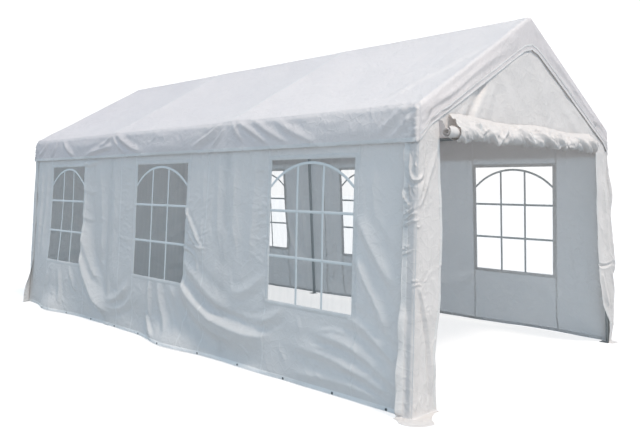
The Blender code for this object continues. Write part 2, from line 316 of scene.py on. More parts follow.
def fold(points, width, height, lean=0.0, crisp=0.5, trough=0.3, fade=0.3):
    """A fold along a line: a ridge, wider on one side, with troughs beside it."""
    line = smooth_line(points)
    heading = np.gradient(line, axis=0)
    gap = np.hypot(heading[:, 0], heading[:, 1])
    reach = 3.2 * width * (1 + abs(lean))

    def shape(across, up):
        total = np.zeros(np.shape(across))
        low, high = line.min(0) - reach, line.max(0) + reach
        near = (across > low[0]) & (across < high[0]) & (up > low[1]) & (up < high[1])
        if not near.any():
            return total
        spots = np.stack([across[near], up[near]], -1)
        apart = spots[:, None, :] - line[None]
        nearest = (apart ** 2).sum(-1).argmin(1)
        offset = apart[np.arange(len(spots)), nearest]
        step = gap[nearest]
        along = heading[nearest] / step[:, None]
        slide = np.clip((offset * along).sum(-1), -0.6 * step, 0.6 * step)
        offset = offset - slide[:, None] * along
        distance = np.hypot(offset[:, 0], offset[:, 1])
        side = np.sign(along[:, 0] * offset[:, 1] - along[:, 1] * offset[:, 0])
        run = distance / (width * (1 + lean * side))
        rounded = np.exp(-run ** 2)
        pointed = np.exp(1.5 * (0.12 - np.sqrt(run ** 2 + 0.0144)))
        hollow = np.exp(-((run - 1.9) / 1.0) ** 2)
        ridge = (1 - crisp) * rounded + crisp * pointed - trough * hollow
        edge = ease((3.0 - run) / 1.0)
        share = np.clip((nearest + slide / step) / (len(line) - 1), 0, 1)
        ending = ease(share / fade) * ease((1 - share) / fade)
        total[near] = height * ridge * ending * edge
        return total

    return shape


def creases(seed, count, low, high, heading, spread, length, width, height):
    """Short crisp creases strewn over part of a sheet."""
    chance = np.random.default_rng(seed)
    folds = []
    for _ in range(count):
        centre = chance.uniform(low, high)
        turn = heading + chance.uniform(-spread, spread)
        half = length * chance.uniform(0.5, 1.3) / 2
        bend = chance.uniform(-0.25, 0.25) * half
        along = np.array([math.cos(turn), math.sin(turn)])
        aside = np.array([-along[1], along[0]])
        points = [centre - along * half, centre + aside * bend, centre + along * half]
        folds.append(fold(
            points, width * chance.uniform(0.6, 1.5), height * chance.uniform(0.4, 1.2),
            lean=chance.uniform(-0.4, 0.4), crisp=0.9, trough=0.25, fade=0.45,
        ))
    return folds


def bulge(centre, size, height):
    """A soft swelling, or a dent where the height is negative."""
    def shape(across, up):
        distance = ((across - centre[0]) / size[0]) ** 2 + ((up - centre[1]) / size[1]) ** 2
        return height * np.exp(-distance)

    return shape


def waves(seed, length, height, heading=0.0, spread=math.pi, sharp=0.0, where=None):
    """Even creasing made of many crossing waves, sharp-edged where asked."""
    chance = np.random.default_rng(seed)
    count = 14
    lengths = length * chance.uniform(0.6, 1.5, count)
    headings = heading + chance.uniform(-spread / 2, spread / 2, count)
    phases = chance.uniform(0, 1, count)

    def shape(across, up):
        total = np.zeros(np.shape(across))
        for wave, turn, phase in zip(lengths, headings, phases):
            run = (across * math.cos(turn) + up * math.sin(turn)) / wave + phase
            run = run + 0.25 * np.sin(2 * math.pi * (up * math.cos(turn) - across * math.sin(turn)) / (3 * wave))
            round_wave = np.cos(2 * math.pi * run)
            sharp_wave = 4 * np.abs(run - np.floor(run) - 0.5) - 1
            total = total + (1 - sharp) * round_wave + sharp * sharp_wave
        total = total * height / math.sqrt(count)
        return total if where is None else total * where(across, up)

    return shape


def between(low, high, soft):
    """One inside a range and nothing outside it, with soft ends."""
    def share(value):
        return ease((value - low) / soft + 0.5) * ease((high - value) / soft + 0.5)

    return share


def sheet_mesh(name, cloth, across, up, finish, keep=None, thickness=0.0012):
    """Hang a grid of the flat cut, and give it its thickness inwards."""
    places = cloth.at(across, up)
    rows, columns = across.shape
    index = np.arange(rows * columns).reshape(rows, columns)
    quads = np.stack([index[:-1, :-1], index[:-1, 1:], index[1:, 1:], index[1:, :-1]], -1)
    quads = quads.reshape(-1, 4)
    if keep is not None:
        middle_across = across.reshape(-1)[quads].mean(1)
        middle_up = up.reshape(-1)[quads].mean(1)
        quads = quads[keep(middle_across, middle_up)]
    outward = cloth.at(across, up, 0.01) - places
    spots = places.reshape(-1, 3)
    first, second, third = (spots[quads[:, corner]] for corner in (0, 1, 2))
    facing = np.cross(second - first, third - first)
    if (facing * outward.reshape(-1, 3)[quads[:, 0]]).sum() < 0:
        quads = quads[:, ::-1]
    used, quads = np.unique(quads, return_inverse=True)
    quads = quads.reshape(-1, 4)
    mesh = bpy.data.meshes.new(name)
    mesh.from_pydata(spots[used].tolist(), [], quads.tolist())
    flat = np.stack([across.reshape(-1)[used], up.reshape(-1)[used]], -1)
    layer = mesh.uv_layers.new(name="cloth")
    loops = np.empty(len(mesh.loops), np.int32)
    mesh.loops.foreach_get("vertex_index", loops)
    layer.data.foreach_set("uv", flat[loops].astype(np.float32).ravel())
    mesh.materials.append(finish)
    mesh.shade_smooth()
    piece = bpy.data.objects.new(name, mesh)
    scene.collection.objects.link(piece)
    if thickness:
        solid = piece.modifiers.new("thickness", "SOLIDIFY")
        solid.thickness = thickness
        solid.offset = -1
    return piece


def spaced(stops, steps):
    """Grid lines through every stop, a given step apart between each two."""
    steps = steps if isinstance(steps, (list, tuple)) else [steps] * (len(stops) - 1)
    line = [stops[0]]
    for start, end, step in zip(stops, stops[1:], steps):
        parts = max(1, round((end - start) / step))
        line += list(np.linspace(start, end, parts + 1)[1:])
    return np.array(line)


def tape(name, cloth, lines, width, finish, above=0.0008, step=0.02):
    """Flat bands welded on to a sheet along lines of its flat cut."""
    verts, faces, flats = [], [], []
    for points in lines:
        points = np.asarray(points, float)
        length = np.hypot(*np.diff(points, axis=0).T).sum()
        count = max(2, int(length / step) + 1)
        if len(points) == 2:
            line = points[0] + np.linspace(0, 1, count)[:, None] * (points[1] - points[0])
        else:
            line = smooth_line(points, count)
        heading = np.gradient(line, axis=0)
        heading /= np.hypot(heading[:, 0], heading[:, 1])[:, None]
        sideways = np.stack([-heading[:, 1], heading[:, 0]], -1)
        start = len(verts)
        profile = ((-0.5, 0.0), (-0.46, above), (0.0, above), (0.46, above), (0.5, 0.0))
        for share, lift in profile:
            edge = line + sideways * width * share
            verts += cloth.at(edge[:, 0], edge[:, 1], lift).tolist()
            flats += edge.tolist()
        for lane in range(len(profile) - 1):
            for place in range(count - 1):
                low = start + lane * count + place
                faces.append((low, low + 1, low + count + 1, low + count))
        back = start + (len(profile) - 1) * count
        for place in range(count - 1):
            low, high = start + place, back + place
            faces.append((high, high + 1, low + 1, low))
        for end in (0, count - 1):
            faces.append(tuple(start + lane * count + end for lane in range(len(profile))))
    mesh = bpy.data.meshes.new(name)
    mesh.from_pydata(verts, [], faces)
    shape = bmesh.new()
    shape.from_mesh(mesh)
    bmesh.ops.recalc_face_normals(shape, faces=shape.faces)
    shape.to_mesh(mesh)
    shape.free()
    layer = mesh.uv_layers.new(name="cloth")
    loops = np.empty(len(mesh.loops), np.int32)
    mesh.loops.foreach_get("vertex_index", loops)
    layer.data.foreach_set("uv", np.asarray(flats, np.float32)[loops].ravel())
    mesh.materials.append(finish)
    mesh.shade_smooth()
    mesh.set_sharp_from_angle(angle=math.radians(50))
    piece = bpy.data.objects.new(name, mesh)
    scene.collection.objects.link(piece)
    return piece


def tarpaulin_finish(name, light, dark, through, painted_far_shade=0.0):
    """Woven ribbon cloth under a smooth coating, creased from being folded."""
    finish = Finish(name)
    flat = finish.node("ShaderNodeUVMap", {"uv_map": "cloth"})
    across = finish.node("ShaderNodeSeparateXYZ", sockets={0: flat})
    up = finish.node("ShaderNodeSeparateXYZ", sockets={0: flat}, output=1)
    ribbon = 2 * math.pi / 0.0028

    def sine(value):
        return finish.node("ShaderNodeMath", {"operation": "SINE"}, {0: value})

    weave = sine(across * ribbon) * sine(up * ribbon)
    broad = finish.node(
        "ShaderNodeTexNoise", sockets={"Vector": flat, "Scale": 1.3, "Detail": 3.0}
    )
    fine = finish.node(
        "ShaderNodeTexNoise", sockets={"Vector": flat, "Scale": 14.0, "Detail": 4.0}
    )
    folded = finish.node(
        "ShaderNodeTexNoise", {"noise_type": "RIDGED_MULTIFRACTAL", "normalize": False},
        {"Vector": flat, "Scale": 4.2, "Detail": 3.0, "Roughness": 0.5, "Lacunarity": 2.3,
         "Offset": 1.0, "Gain": 2.0, "Distortion": 0.35},
    )
    crumpled = finish.node(
        "ShaderNodeTexVoronoi", {"feature": "DISTANCE_TO_EDGE"},
        {"Vector": flat, "Scale": 13.0, "Randomness": 1.0},
    )
    crease = finish.node(
        "ShaderNodeMapRange", {"clamp": True},
        {"Value": crumpled, "From Min": 0.0, "From Max": 0.10, "To Min": 1.0, "To Max": 0.0},
    )
    # The last term is painted shade: the colour darkens steadily along the cloth's first direction, so the roof
    # grows darker towards its back end.
    shade = finish.mix(broad * 0.65 + fine * 0.35 - across * painted_far_shade, dark, light)
    height = (
        weave * 0.00010 + fine * 0.0022 + crease * broad * 0.0020 + folded * 0.0028
    )
    bump = finish.node(
        "ShaderNodeBump", sockets={"Strength": 1.0, "Distance": 1.0, "Height": height}
    )
    coat = finish.node("ShaderNodeBsdfPrincipled", sockets={
        "Base Color": shade, "Roughness": 0.30 + 0.16 * fine, "Normal": bump,
        "Specular IOR Level": 0.5,
    })
    glow = finish.node("ShaderNodeBsdfTranslucent", sockets={"Color": light, "Normal": bump})
    return finish.surface(finish.node("ShaderNodeMixShader", sockets={
        0: through, 1: coat, 2: glow,
    }))


class Repeat(Nodes):
    """A small part set on every one of a mesh's points."""

    def __init__(self, name):
        super().__init__(bpy.data.node_groups.new(name, "GeometryNodeTree"))
        for way in ("INPUT", "OUTPUT"):
            self.tree.interface.new_socket(
                "Geometry", in_out=way, socket_type="NodeSocketGeometry"
            )
        self.start = self.tree.nodes.new("NodeGroupInput")
        self.end = self.tree.nodes.new("NodeGroupOutput")

    def size(self, name, value):
        """A named length that each use of the tree can set."""
        socket = self.tree.interface.new_socket(
            name, in_out="INPUT", socket_type="NodeSocketFloat"
        )
        socket.default_value = value
        return Wave(self, self.start.outputs[name])

    def attribute(self, name):
        settings = {"data_type": "FLOAT_VECTOR"}
        return self.node("GeometryNodeInputNamedAttribute", settings, {"Name": name})

    def finish(self, part, materials, scale=None):
        """Turn the part to each point, make it real, and give it its materials."""
        turn = self.node(
            "FunctionNodeAxesToRotation", {"primary_axis": "Z", "secondary_axis": "X"},
            {0: self.attribute("facing"), 1: self.attribute("along")},
        )
        sockets = {"Points": Wave(self, self.start.outputs[0]), "Instance": part, "Rotation": turn}
        if scale is not None:
            sockets["Scale"] = scale
        made = self.node(
            "GeometryNodeRealizeInstances",
            sockets={0: self.node("GeometryNodeInstanceOnPoints", sockets=sockets)},
        )
        for material, chosen in materials:
            made = self.node(
                "GeometryNodeSetMaterial",
                sockets={"Geometry": made, "Selection": chosen, "Material": material},
            )
        self.tree.links.new(made.socket, self.end.inputs[0])
        return self


def repeated(name, repeat, facing, along, spots, **sizes):
    """Run a tree over a row of points and keep the result as a plain mesh."""
    mesh = bpy.data.meshes.new(name)
    mesh.from_pydata(spots.tolist(), [], [])
    for key, vectors in (("facing", facing), ("along", along)):
        layer = mesh.attributes.new(key, "FLOAT_VECTOR", "POINT")
        layer.data.foreach_set("vector", np.asarray(vectors, np.float32).ravel())
    holder = bpy.data.objects.new(name, mesh)
    scene.collection.objects.link(holder)
    modifier = holder.modifiers.new("repeat", "NODES")
    modifier.node_group = repeat.tree
    for socket in repeat.tree.interface.items_tree:
        if socket.name in sizes:
            modifier[socket.identifier] = sizes[socket.name]
    bpy.context.view_layer.update()
    depsgraph = bpy.context.evaluated_depsgraph_get()
    made = bpy.data.meshes.new_from_object(holder.evaluated_get(depsgraph), depsgraph=depsgraph)
    bpy.data.objects.remove(holder)
    piece = bpy.data.objects.new(name, made)
    scene.collection.objects.link(piece)
    return piece


def painted_hole_shade_finish():
    finish = Finish("eyelet_hole")
    place = finish.node("ShaderNodeTexCoord", output="Object")
    cloud = finish.node("ShaderNodeTexNoise", sockets={"Vector": place, "Scale": 60.0})
    # Painted shade: a near-black disc stands for the dark seen through the eyelet's hole.
    shade = finish.mix(cloud, (0.012, 0.012, 0.012, 1), (0.03, 0.03, 0.03, 1))
    return finish.surface(finish.node("ShaderNodeBsdfPrincipled", sockets={
        "Base Color": shade, "Roughness": 0.7,
    }))


def eyelet_tree():
    """A pressed metal ring, with a near-black disc in its hole as painted shade."""
    repeat = Repeat("eyelet")
    ring_size = repeat.size("Ring", 0.0085)
    lip_size = repeat.size("Lip", 0.0022)
    ring = repeat.node("GeometryNodeCurveToMesh", sockets={
        "Curve": repeat.node(
            "GeometryNodeCurvePrimitiveCircle", sockets={"Resolution": 20, "Radius": ring_size}
        ),
        "Profile Curve": repeat.node(
            "GeometryNodeCurvePrimitiveCircle", sockets={"Resolution": 8, "Radius": lip_size}
        ),
    })
    hole = repeat.node(
        "GeometryNodeMeshCircle", {"fill_type": "NGON"}, {"Vertices": 20, "Radius": ring_size}
    )
    marked = repeat.node(
        "GeometryNodeStoreNamedAttribute", {"data_type": "BOOLEAN", "domain": "FACE"},
        {"Geometry": hole, "Name": "hole", "Value": True},
    )
    part = repeat.node("GeometryNodeJoinGeometry", sockets={0: [ring, marked]})
    in_hole = repeat.node(
        "GeometryNodeInputNamedAttribute", {"data_type": "BOOLEAN"}, {"Name": "hole"}
    )
    return repeat.finish(part, [(steel, True), (painted_hole_shade_finish(), in_hole)])


def stitch_tree():
    """A short loop of thread; each is a little longer or shorter than the next."""
    repeat = Repeat("stitch")
    length = repeat.size("Stitch", 0.0070)
    part = repeat.node("GeometryNodeMeshUVSphere", sockets={
        "Segments": 6, "Rings": 4, "Radius": 0.5,
    })
    uneven = repeat.node(
        "FunctionNodeRandomValue", {"data_type": "FLOAT"}, {"Min": 0.8, "Max": 1.15, "Seed": 7},
        output="Value",
    )
    scale = repeat.node(
        "ShaderNodeCombineXYZ", sockets={0: length * uneven, 1: 0.0016, 2: 0.0012}
    )
    return repeat.finish(part, [(seam_cloth, True)], scale)


FRAMES = (-3.0, -1.0, 1.0, 3.0)
EYELET_PLACES = np.arange(-2.80, 2.85, 0.515)
END_LEAN = 0.027
END_ZONE = 0.40
wall_low, wall_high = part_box("side_wall_left")
SLAB = 0.005
LEAN = math.atan2(wall_high.x - wall_low.x - SLAB, wall_high.z - wall_low.z)
FOOT_X = -wall_low.x
WALL_END = wall_high.y
WALL_TOP = (wall_high.z - 0.01) / math.cos(LEAN)
WALL_HEM = 0.004


def leaned(y, z):
    """Places near the tent's ends, moved in with the leaning end frames."""
    share = ease((np.abs(y) - (3.0 - END_ZONE - 0.18)) / 0.46)
    return y - np.sign(y) * END_LEAN * z * share


def wall_place(side, slip=None):
    """The splayed plane of a side wall: along the tent, up the wall, outwards."""
    def place(across, up, lift):
        moved = across if slip is None else across + slip(across, up)
        x = side * (FOOT_X + lift * math.cos(LEAN) - up * math.sin(LEAN))
        z = np.maximum(up * math.cos(LEAN) + lift * math.sin(LEAN), WALL_HEM)
        return np.stack([x, leaned(moved, z), z], -1)

    return place


def left_slip(across, up):
    """How far the left wall's cloth is dragged along the tent."""
    low = 1 - ease((up - 0.4) / 1.2)
    slip = 0.048 * np.exp(-((across - 0.05) / 0.75) ** 2)
    slip = slip - 0.042 * low * np.exp(-((across + 2.0) / 0.65) ** 2)
    return slip + 0.030 * np.exp(-((across - 1.65) / 0.30) ** 2)


def legs_below(across, up):
    """The cloth can't go further in than the legs and the eave rail it lies on."""
    apart = np.min([np.abs(across - leg) for leg in FRAMES], axis=0)
    off_leg = np.maximum(apart - 0.025, 0)
    off_rail = np.maximum(WALL_TOP - 0.05 - up, 0)
    return -0.0025 - 0.45 * np.minimum(off_leg, off_rail)


def left_wall_shapes():
    """Swags and creases of the left wall, as its slack cloth falls."""
    broad = [
        # the cloth is drawn outwards below the far window
        bulge((2.20, 0.35), (0.42, 0.55), 0.050),
        bulge((1.62, 1.62), (0.22, 0.30), 0.020),
        # bellies between the windows
        bulge((1.15, 0.80), (0.30, 0.50), -0.020),
        bulge((-0.75, 0.85), (0.30, 0.40), 0.022),
        bulge((0.35, 0.16), (0.30, 0.14), -0.030),
        bulge((-2.70, 0.45), (0.25, 0.40), -0.018),
        # hem pulled out on the ground between its pegs
        lambda across, up: hem_flare(across) * (1 - ease(up / 0.36)) ** 2,
    ]
    small = [
        # the long swag from the far window down to the hem
        fold([(1.70, 1.66), (1.64, 1.25), (1.60, 0.90), (1.52, 0.58), (1.36, 0.34), (1.14, 0.19), (0.84, 0.12)],
             0.085, 0.062, lean=-0.45, crisp=0.85, trough=0.35, fade=0.22),
        fold([(1.60, 1.10), (1.50, 0.80), (1.34, 0.54), (1.12, 0.40)],
             0.050, 0.018, lean=-0.3, crisp=0.6, trough=0.4),
        fold([(0.50, 0.54), (0.66, 0.38), (0.86, 0.29), (1.06, 0.27)], 0.050, 0.024, crisp=0.7),
        fold([(0.42, 0.42), (0.60, 0.26), (0.84, 0.19), (1.00, 0.19)], 0.040, 0.018, crisp=0.7),
        # short swags hung from the far window's edge
        fold([(1.70, 1.60), (1.60, 1.46), (1.44, 1.39), (1.26, 1.41)], 0.030, 0.008, lean=-0.3),
        fold([(1.68, 1.36), (1.60, 1.18), (1.46, 1.09), (1.32, 1.11)], 0.030, 0.008, lean=-0.3),
        fold([(1.70, 1.14), (1.60, 1.00), (1.45, 0.94)], 0.028, 0.006, lean=-0.3),
        fold([(1.66, 1.77), (1.48, 1.69), (1.24, 1.75)], 0.026, 0.014, lean=-0.2, crisp=0.7),
        fold([(1.30, 1.74), (1.20, 1.40), (1.16, 0.90), (1.18, 0.55)], 0.060, 0.014, trough=0.2),
        fold([(0.92, 1.74), (0.90, 1.30), (0.93, 0.80), (0.98, 0.45)], 0.060, 0.012, trough=0.2),
        # the swag from the middle window towards the near one
        fold([(-0.34, 0.70), (-0.55, 0.50), (-0.76, 0.38), (-1.00, 0.31), (-1.34, 0.28), (-1.66, 0.31)],
             0.080, 0.055, lean=0.35, crisp=0.7, trough=0.45, fade=0.18),
        fold([(-0.38, 0.84), (-0.62, 0.68), (-0.88, 0.52), (-1.15, 0.44)], 0.060, 0.024, crisp=0.7),
        fold([(-0.44, 0.46), (-0.66, 0.32), (-0.95, 0.22), (-1.30, 0.18)], 0.040, 0.016, crisp=0.7),
        # crisp creases beside the middle window
        fold([(-0.40, 1.31), (-0.54, 1.12), (-0.72, 0.92)], 0.020, 0.022, crisp=0.9, fade=0.2),
        fold([(-0.38, 0.92), (-0.54, 0.89), (-0.64, 0.82), (-0.66, 0.72)],
             0.014, 0.018, crisp=0.9, fade=0.15),
        fold([(-0.44, 1.09), (-0.58, 0.99), (-0.68, 0.91)], 0.013, 0.014, crisp=0.9, fade=0.2),
        fold([(-0.38, 0.98), (-0.60, 0.935), (-0.82, 0.925)], 0.012, 0.013, crisp=0.9),
        fold([(-0.42, 1.20), (-0.60, 0.98), (-0.80, 0.86)], 0.030, 0.010, crisp=0.8),
        # vertical falls between the near and the middle window
        fold([(-1.38, 1.85), (-1.36, 1.30), (-1.32, 0.80)], 0.055, 0.013, trough=0.2, fade=0.2),
        fold([(-1.12, 1.85), (-1.11, 1.30), (-1.14, 0.95)], 0.045, 0.014, trough=0.2, fade=0.2),
        fold([(-0.90, 1.85), (-0.90, 1.30), (-0.94, 1.00)], 0.045, 0.012, trough=0.2, fade=0.2),
        fold([(-0.70, 1.80), (-0.68, 1.50), (-0.70, 1.20)], 0.035, 0.007, trough=0.2),
        # beside the near window, towards the middle one
        fold([(-1.76, 0.56), (-1.62, 0.46), (-1.42, 0.39), (-1.15, 0.40)], 0.040, 0.020, crisp=0.7),
        fold([(-1.55, 0.82), (-1.42, 0.70), (-1.25, 0.61), (-1.03, 0.58)], 0.040, 0.016, crisp=0.7),
        # beside the near window, towards the corner
        fold([(-2.46, 1.30), (-2.57, 1.14), (-2.72, 0.95), (-2.90, 0.78)],
             0.050, 0.026, lean=-0.3, crisp=0.6),
        fold([(-2.47, 1.00), (-2.57, 0.84), (-2.70, 0.66), (-2.80, 0.50)],
             0.050, 0.030, lean=-0.3, crisp=0.7, fade=0.2),
        fold([(-2.62, 1.70), (-2.64, 1.40), (-2.70, 1.10)], 0.040, 0.008, trough=0.2),
        # fan of folds from the near corner's foot
        fold([(-2.97, 0.24), (-2.75, 0.40), (-2.52, 0.53), (-2.34, 0.58)], 0.040, 0.020, crisp=0.7),
        fold([(-2.97, 0.13), (-2.66, 0.28), (-2.36, 0.38), (-2.00, 0.40)],
             0.042, 0.024, lean=0.3, crisp=0.7),
        fold([(-2.95, 0.07), (-2.60, 0.18), (-2.20, 0.26), (-1.70, 0.28)],
             0.042, 0.022, lean=0.3, crisp=0.7),
        fold([(-2.85, 0.05), (-2.50, 0.10), (-2.10, 0.10), (-1.80, 0.08)], 0.035, 0.014, crisp=0.6),
        fold([(-2.50, 0.29), (-2.26, 0.32), (-2.00, 0.31)], 0.014, 0.009, crisp=0.9),
        fold([(-2.46, 0.44), (-2.28, 0.46), (-2.10, 0.43)], 0.014, 0.008, crisp=0.9),
        # falls under the middle window
        fold([(0.12, 0.58), (0.13, 0.36), (0.10, 0.16)], 0.032, 0.018, crisp=0.6, fade=0.2),
        fold([(-0.04, 0.58), (-0.10, 0.34), (-0.28, 0.10)], 0.042, 0.024, crisp=0.6, fade=0.2),
        fold([(-0.24, 0.58), (-0.36, 0.36), (-0.60, 0.14)], 0.042, 0.022, crisp=0.6, fade=0.2),
        fold([(0.20, 0.28), (0.07, 0.13), (-0.12, 0.03)], 0.030, 0.026, lean=0.4, crisp=0.7),
        fold([(-0.52, 0.34), (-0.62, 0.20), (-0.72, 0.08)], 0.030, 0.012, crisp=0.6),
        # falls beside and under the far window
        fold([(1.88, 0.56), (1.77, 0.40), (1.66, 0.26)], 0.032, 0.016, crisp=0.6),
        fold([(2.58, 1.75), (2.62, 1.20), (2.68, 0.60)], 0.040, 0.012, fade=0.15),
        fold([(2.76, 1.75), (2.79, 1.20), (2.82, 0.50)], 0.032, 0.014, fade=0.15),
        fold([(2.10, 0.54), (2.06, 0.30), (2.02, 0.08)], 0.045, 0.014),
        fold([(2.38, 0.50), (2.46, 0.28), (2.60, 0.10)], 0.045, 0.018),
        # puckers along the welded bands, and small creasing everywhere
        *creases(14, 60, (-1.56, 0.70), (-1.36, 1.66), 0.0, 0.35, 0.14, 0.010, 0.0040),
        *creases(15, 60, (0.46, 0.70), (0.76, 1.66), 0.0, 0.45, 0.16, 0.011, 0.0045),
        *creases(16, 50, (-0.80, 0.66), (-0.42, 1.36), -0.7, 0.6, 0.18, 0.010, 0.0055),
        *creases(17, 130, (-2.90, 0.06), (2.90, 0.50), 0.3, 0.9, 0.22, 0.014, 0.0050),
        *creases(18, 130, (-2.90, 0.50), (2.90, 1.70), 0.9, 1.2, 0.24, 0.014, 0.0038),
        *creases(19, 40, (-2.90, 1.60), (2.90, 1.78), 1.45, 0.3, 0.20, 0.013, 0.0045),
        *creases(13, 60, (-1.34, 0.55), (-0.50, 1.70), 1.45, 0.25, 0.35, 0.013, 0.0035),
        *creases(11, 40, (0.80, 0.55), (1.50, 1.70), 1.45, 0.3, 0.35, 0.013, 0.0035),
        waves(12, 0.45, 0.0030, spread=math.pi),
    ]
    return broad, small


def hem_flare(across):
    """How far out the hem stands from the leg line."""
    flare = 0.105 * np.exp(-((across + 0.30) / 0.42) ** 2)
    flare = flare + 0.085 * np.exp(-((across - 2.25) / 0.35) ** 2)
    flare = flare + 0.025 * np.exp(-((across + 1.35) / 0.40) ** 2)
    return flare


def on_panes(across, up):
    inside = np.zeros(np.shape(across))
    for centre in BAY_CENTRES:
        inside = np.maximum(
            inside,
            between(centre - WINDOW_WIDTH / 2, centre + WINDOW_WIDTH / 2, 0.06)(across)
            * between(WINDOW_SILL, WINDOW_HEAD, 0.06)(up),
        )
    return inside


def calmer_panes(shapes):
    """The clear sheet is stiffer than the cloth, so it keeps only part of each fold."""
    broad, small = shapes

    def shape(across, up):
        total = sum(one(across, up) for one in broad)
        fine = sum(one(across, up) for one in small)
        return total + fine * (1 - 0.85 * on_panes(across, up))

    return shape


WINDOW_WIDTH = 0.88
pane_low, pane_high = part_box("window_left_1")
WINDOW_SILL = (pane_low.z - 0.001) / math.cos(LEAN)
WINDOW_HEAD = (pane_high.z + 0.001) / math.cos(LEAN)
BAY_CENTRES = [
    (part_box(f"window_left_{bay}")[0].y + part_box(f"window_left_{bay}")[1].y) / 2
    for bay in (1, 2, 3)
]


def in_window(across, up):
    inside = np.zeros(np.shape(across), bool)
    for centre in BAY_CENTRES:
        inside |= (np.abs(across - centre) < WINDOW_WIDTH / 2) & (up > WINDOW_SILL) & (up < WINDOW_HEAD)
    return inside


wall_cloth = tarpaulin_finish(
    "wall_tarpaulin", (0.885, 0.865, 0.845, 1), (0.825, 0.81, 0.79, 1), 0.33
)
seam_cloth = tarpaulin_finish(
    "welded_band", (0.95, 0.94, 0.925, 1), (0.91, 0.90, 0.885, 1), 0.40
)


hem_cloth = tarpaulin_finish(
    "hem_band", (0.96, 0.95, 0.935, 1), (0.92, 0.91, 0.895, 1), 0.12
)
eyelet_nodes = eyelet_tree()
stitch_nodes = stitch_tree()


def wall_grid(step):
    window_edges = [
        centre + side * WINDOW_WIDTH / 2 for centre in BAY_CENTRES for side in (-1, 1)
    ]
    across = spaced([-WALL_END, *window_edges, WALL_END], step)
    up = spaced([WALL_HEM, WINDOW_SILL, WINDOW_HEAD, WALL_TOP], step)
    return np.meshgrid(across, up)


def make_wall(side_name, cloth, step):
    across, up = wall_grid(step)
    wall = sheet_mesh(
        f"side_wall_cloth_{side_name}", cloth, across, up, wall_cloth,
        keep=lambda a, b: ~in_window(a, b), thickness=0.0,
    )
    hem = tape(
        f"wall_hem_{side_name}", cloth, [[(-WALL_END + 0.01, 0.019), (WALL_END - 0.01, 0.019)]],
        0.030, hem_cloth, above=0.0016, step=0.011,
    )
    beside_panes = [
        centre + side * (WINDOW_WIDTH / 2 + 0.034) for centre in BAY_CENTRES for side in (-1, 1)
    ]
    seams = tape(
        f"wall_seams_{side_name}", cloth,
        [[(place, 0.035), (place, WALL_TOP - 0.01)] for place in (-0.74, 0.78, *beside_panes)],
        0.016, seam_cloth, above=0.0010, step=0.011,
    )
    hem_line = np.arange(-WALL_END + 0.02, WALL_END - 0.02, 0.011)
    stitches = repeated(
        f"wall_stitches_{side_name}", stitch_nodes, *cloth.frames(hem_line, 0.0305, 0.0021)
    )
    eyelets = repeated(
        f"wall_eyelets_{side_name}", eyelet_nodes, *cloth.frames(EYELET_PLACES, 0.0165, 0.0022)
    )
    for piece in (wall, hem, seams, stitches, eyelets):
        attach(piece, "root")
    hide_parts(f"side_wall_{side_name}")


def room_outside(across, up):
    """Little room behind the valance and behind the end walls that wrap round."""
    below_hem = np.maximum(WALL_TOP - 0.245 - up, 0)
    off_return = np.maximum(WALL_END - 0.09 - np.abs(across), 0)
    return 0.003 + 1.2 * np.minimum(below_hem, off_return)


left_wall = Cloth(
    wall_place(-1, left_slip), [calmer_panes(left_wall_shapes())], legs_below, room_outside
)
make_wall("left", left_wall, 0.0112)


def right_wall_shapes():
    """The right wall hangs flatter, with shallow swags between its windows."""
    broad = [
        bulge((1.0, 0.7), (0.40, 0.6), 0.020),
        bulge((-1.0, 0.7), (0.40, 0.6), 0.015),
        lambda across, up: 0.5 * hem_flare(-across) * (1 - ease(up / 0.30)) ** 2,
    ]
    small = [
        fold([(1.66, 1.30), (1.58, 0.85), (1.36, 0.45), (1.05, 0.30)], 0.09, 0.030, trough=0.4),
        fold([(0.40, 0.60), (0.62, 0.42), (0.90, 0.32)], 0.07, 0.020),
        fold([(-0.36, 0.62), (-0.62, 0.46), (-0.95, 0.36), (-1.30, 0.36)], 0.08, 0.024),
        fold([(-1.56, 0.60), (-1.40, 0.44), (-1.10, 0.34)], 0.06, 0.014),
        fold([(-2.95, 0.15), (-2.60, 0.34), (-2.30, 0.46)], 0.05, 0.012),
        fold([(-2.80, 0.90), (-2.78, 0.60), (-2.82, 0.30)], 0.05, 0.008),
        fold([(2.90, 0.20), (2.60, 0.38), (2.40, 0.50)], 0.05, 0.014),
        fold([(-1.20, 1.80), (-1.20, 1.20), (-1.15, 0.70)], 0.05, 0.008),
        fold([(-0.80, 1.80), (-0.82, 1.20), (-0.86, 0.80)], 0.05, 0.008),
        fold([(0.80, 1.80), (0.82, 1.20), (0.86, 0.70)], 0.05, 0.010),
        fold([(1.25, 1.80), (1.24, 1.20), (1.20, 0.70)], 0.05, 0.008),
        *creases(24, 30, (-1.54, 0.70), (-0.46, 1.66), 0.0, 0.5, 0.20, 0.016, 0.0030),
        *creases(25, 30, (0.46, 0.70), (1.54, 1.66), 0.0, 0.5, 0.20, 0.016, 0.0030),
        *creases(26, 80, (-2.90, 0.06), (2.90, 0.50), 0.2, 0.9, 0.28, 0.022, 0.0045),
        *creases(27, 50, (-2.90, 0.50), (2.90, 1.78), 1.0, 1.2, 0.30, 0.022, 0.0035),
        waves(22, 0.45, 0.0035, spread=math.pi),
    ]
    return broad, small


right_wall = Cloth(
    wall_place(1), [calmer_panes(right_wall_shapes())], legs_below, room_outside
)
make_wall("right", right_wall, 0.018)


# The windows
# Soft clear vinyl sheet welded into each hole. A white lattice is printed on it:
# two uprights, two crossbars and a shallow arch.

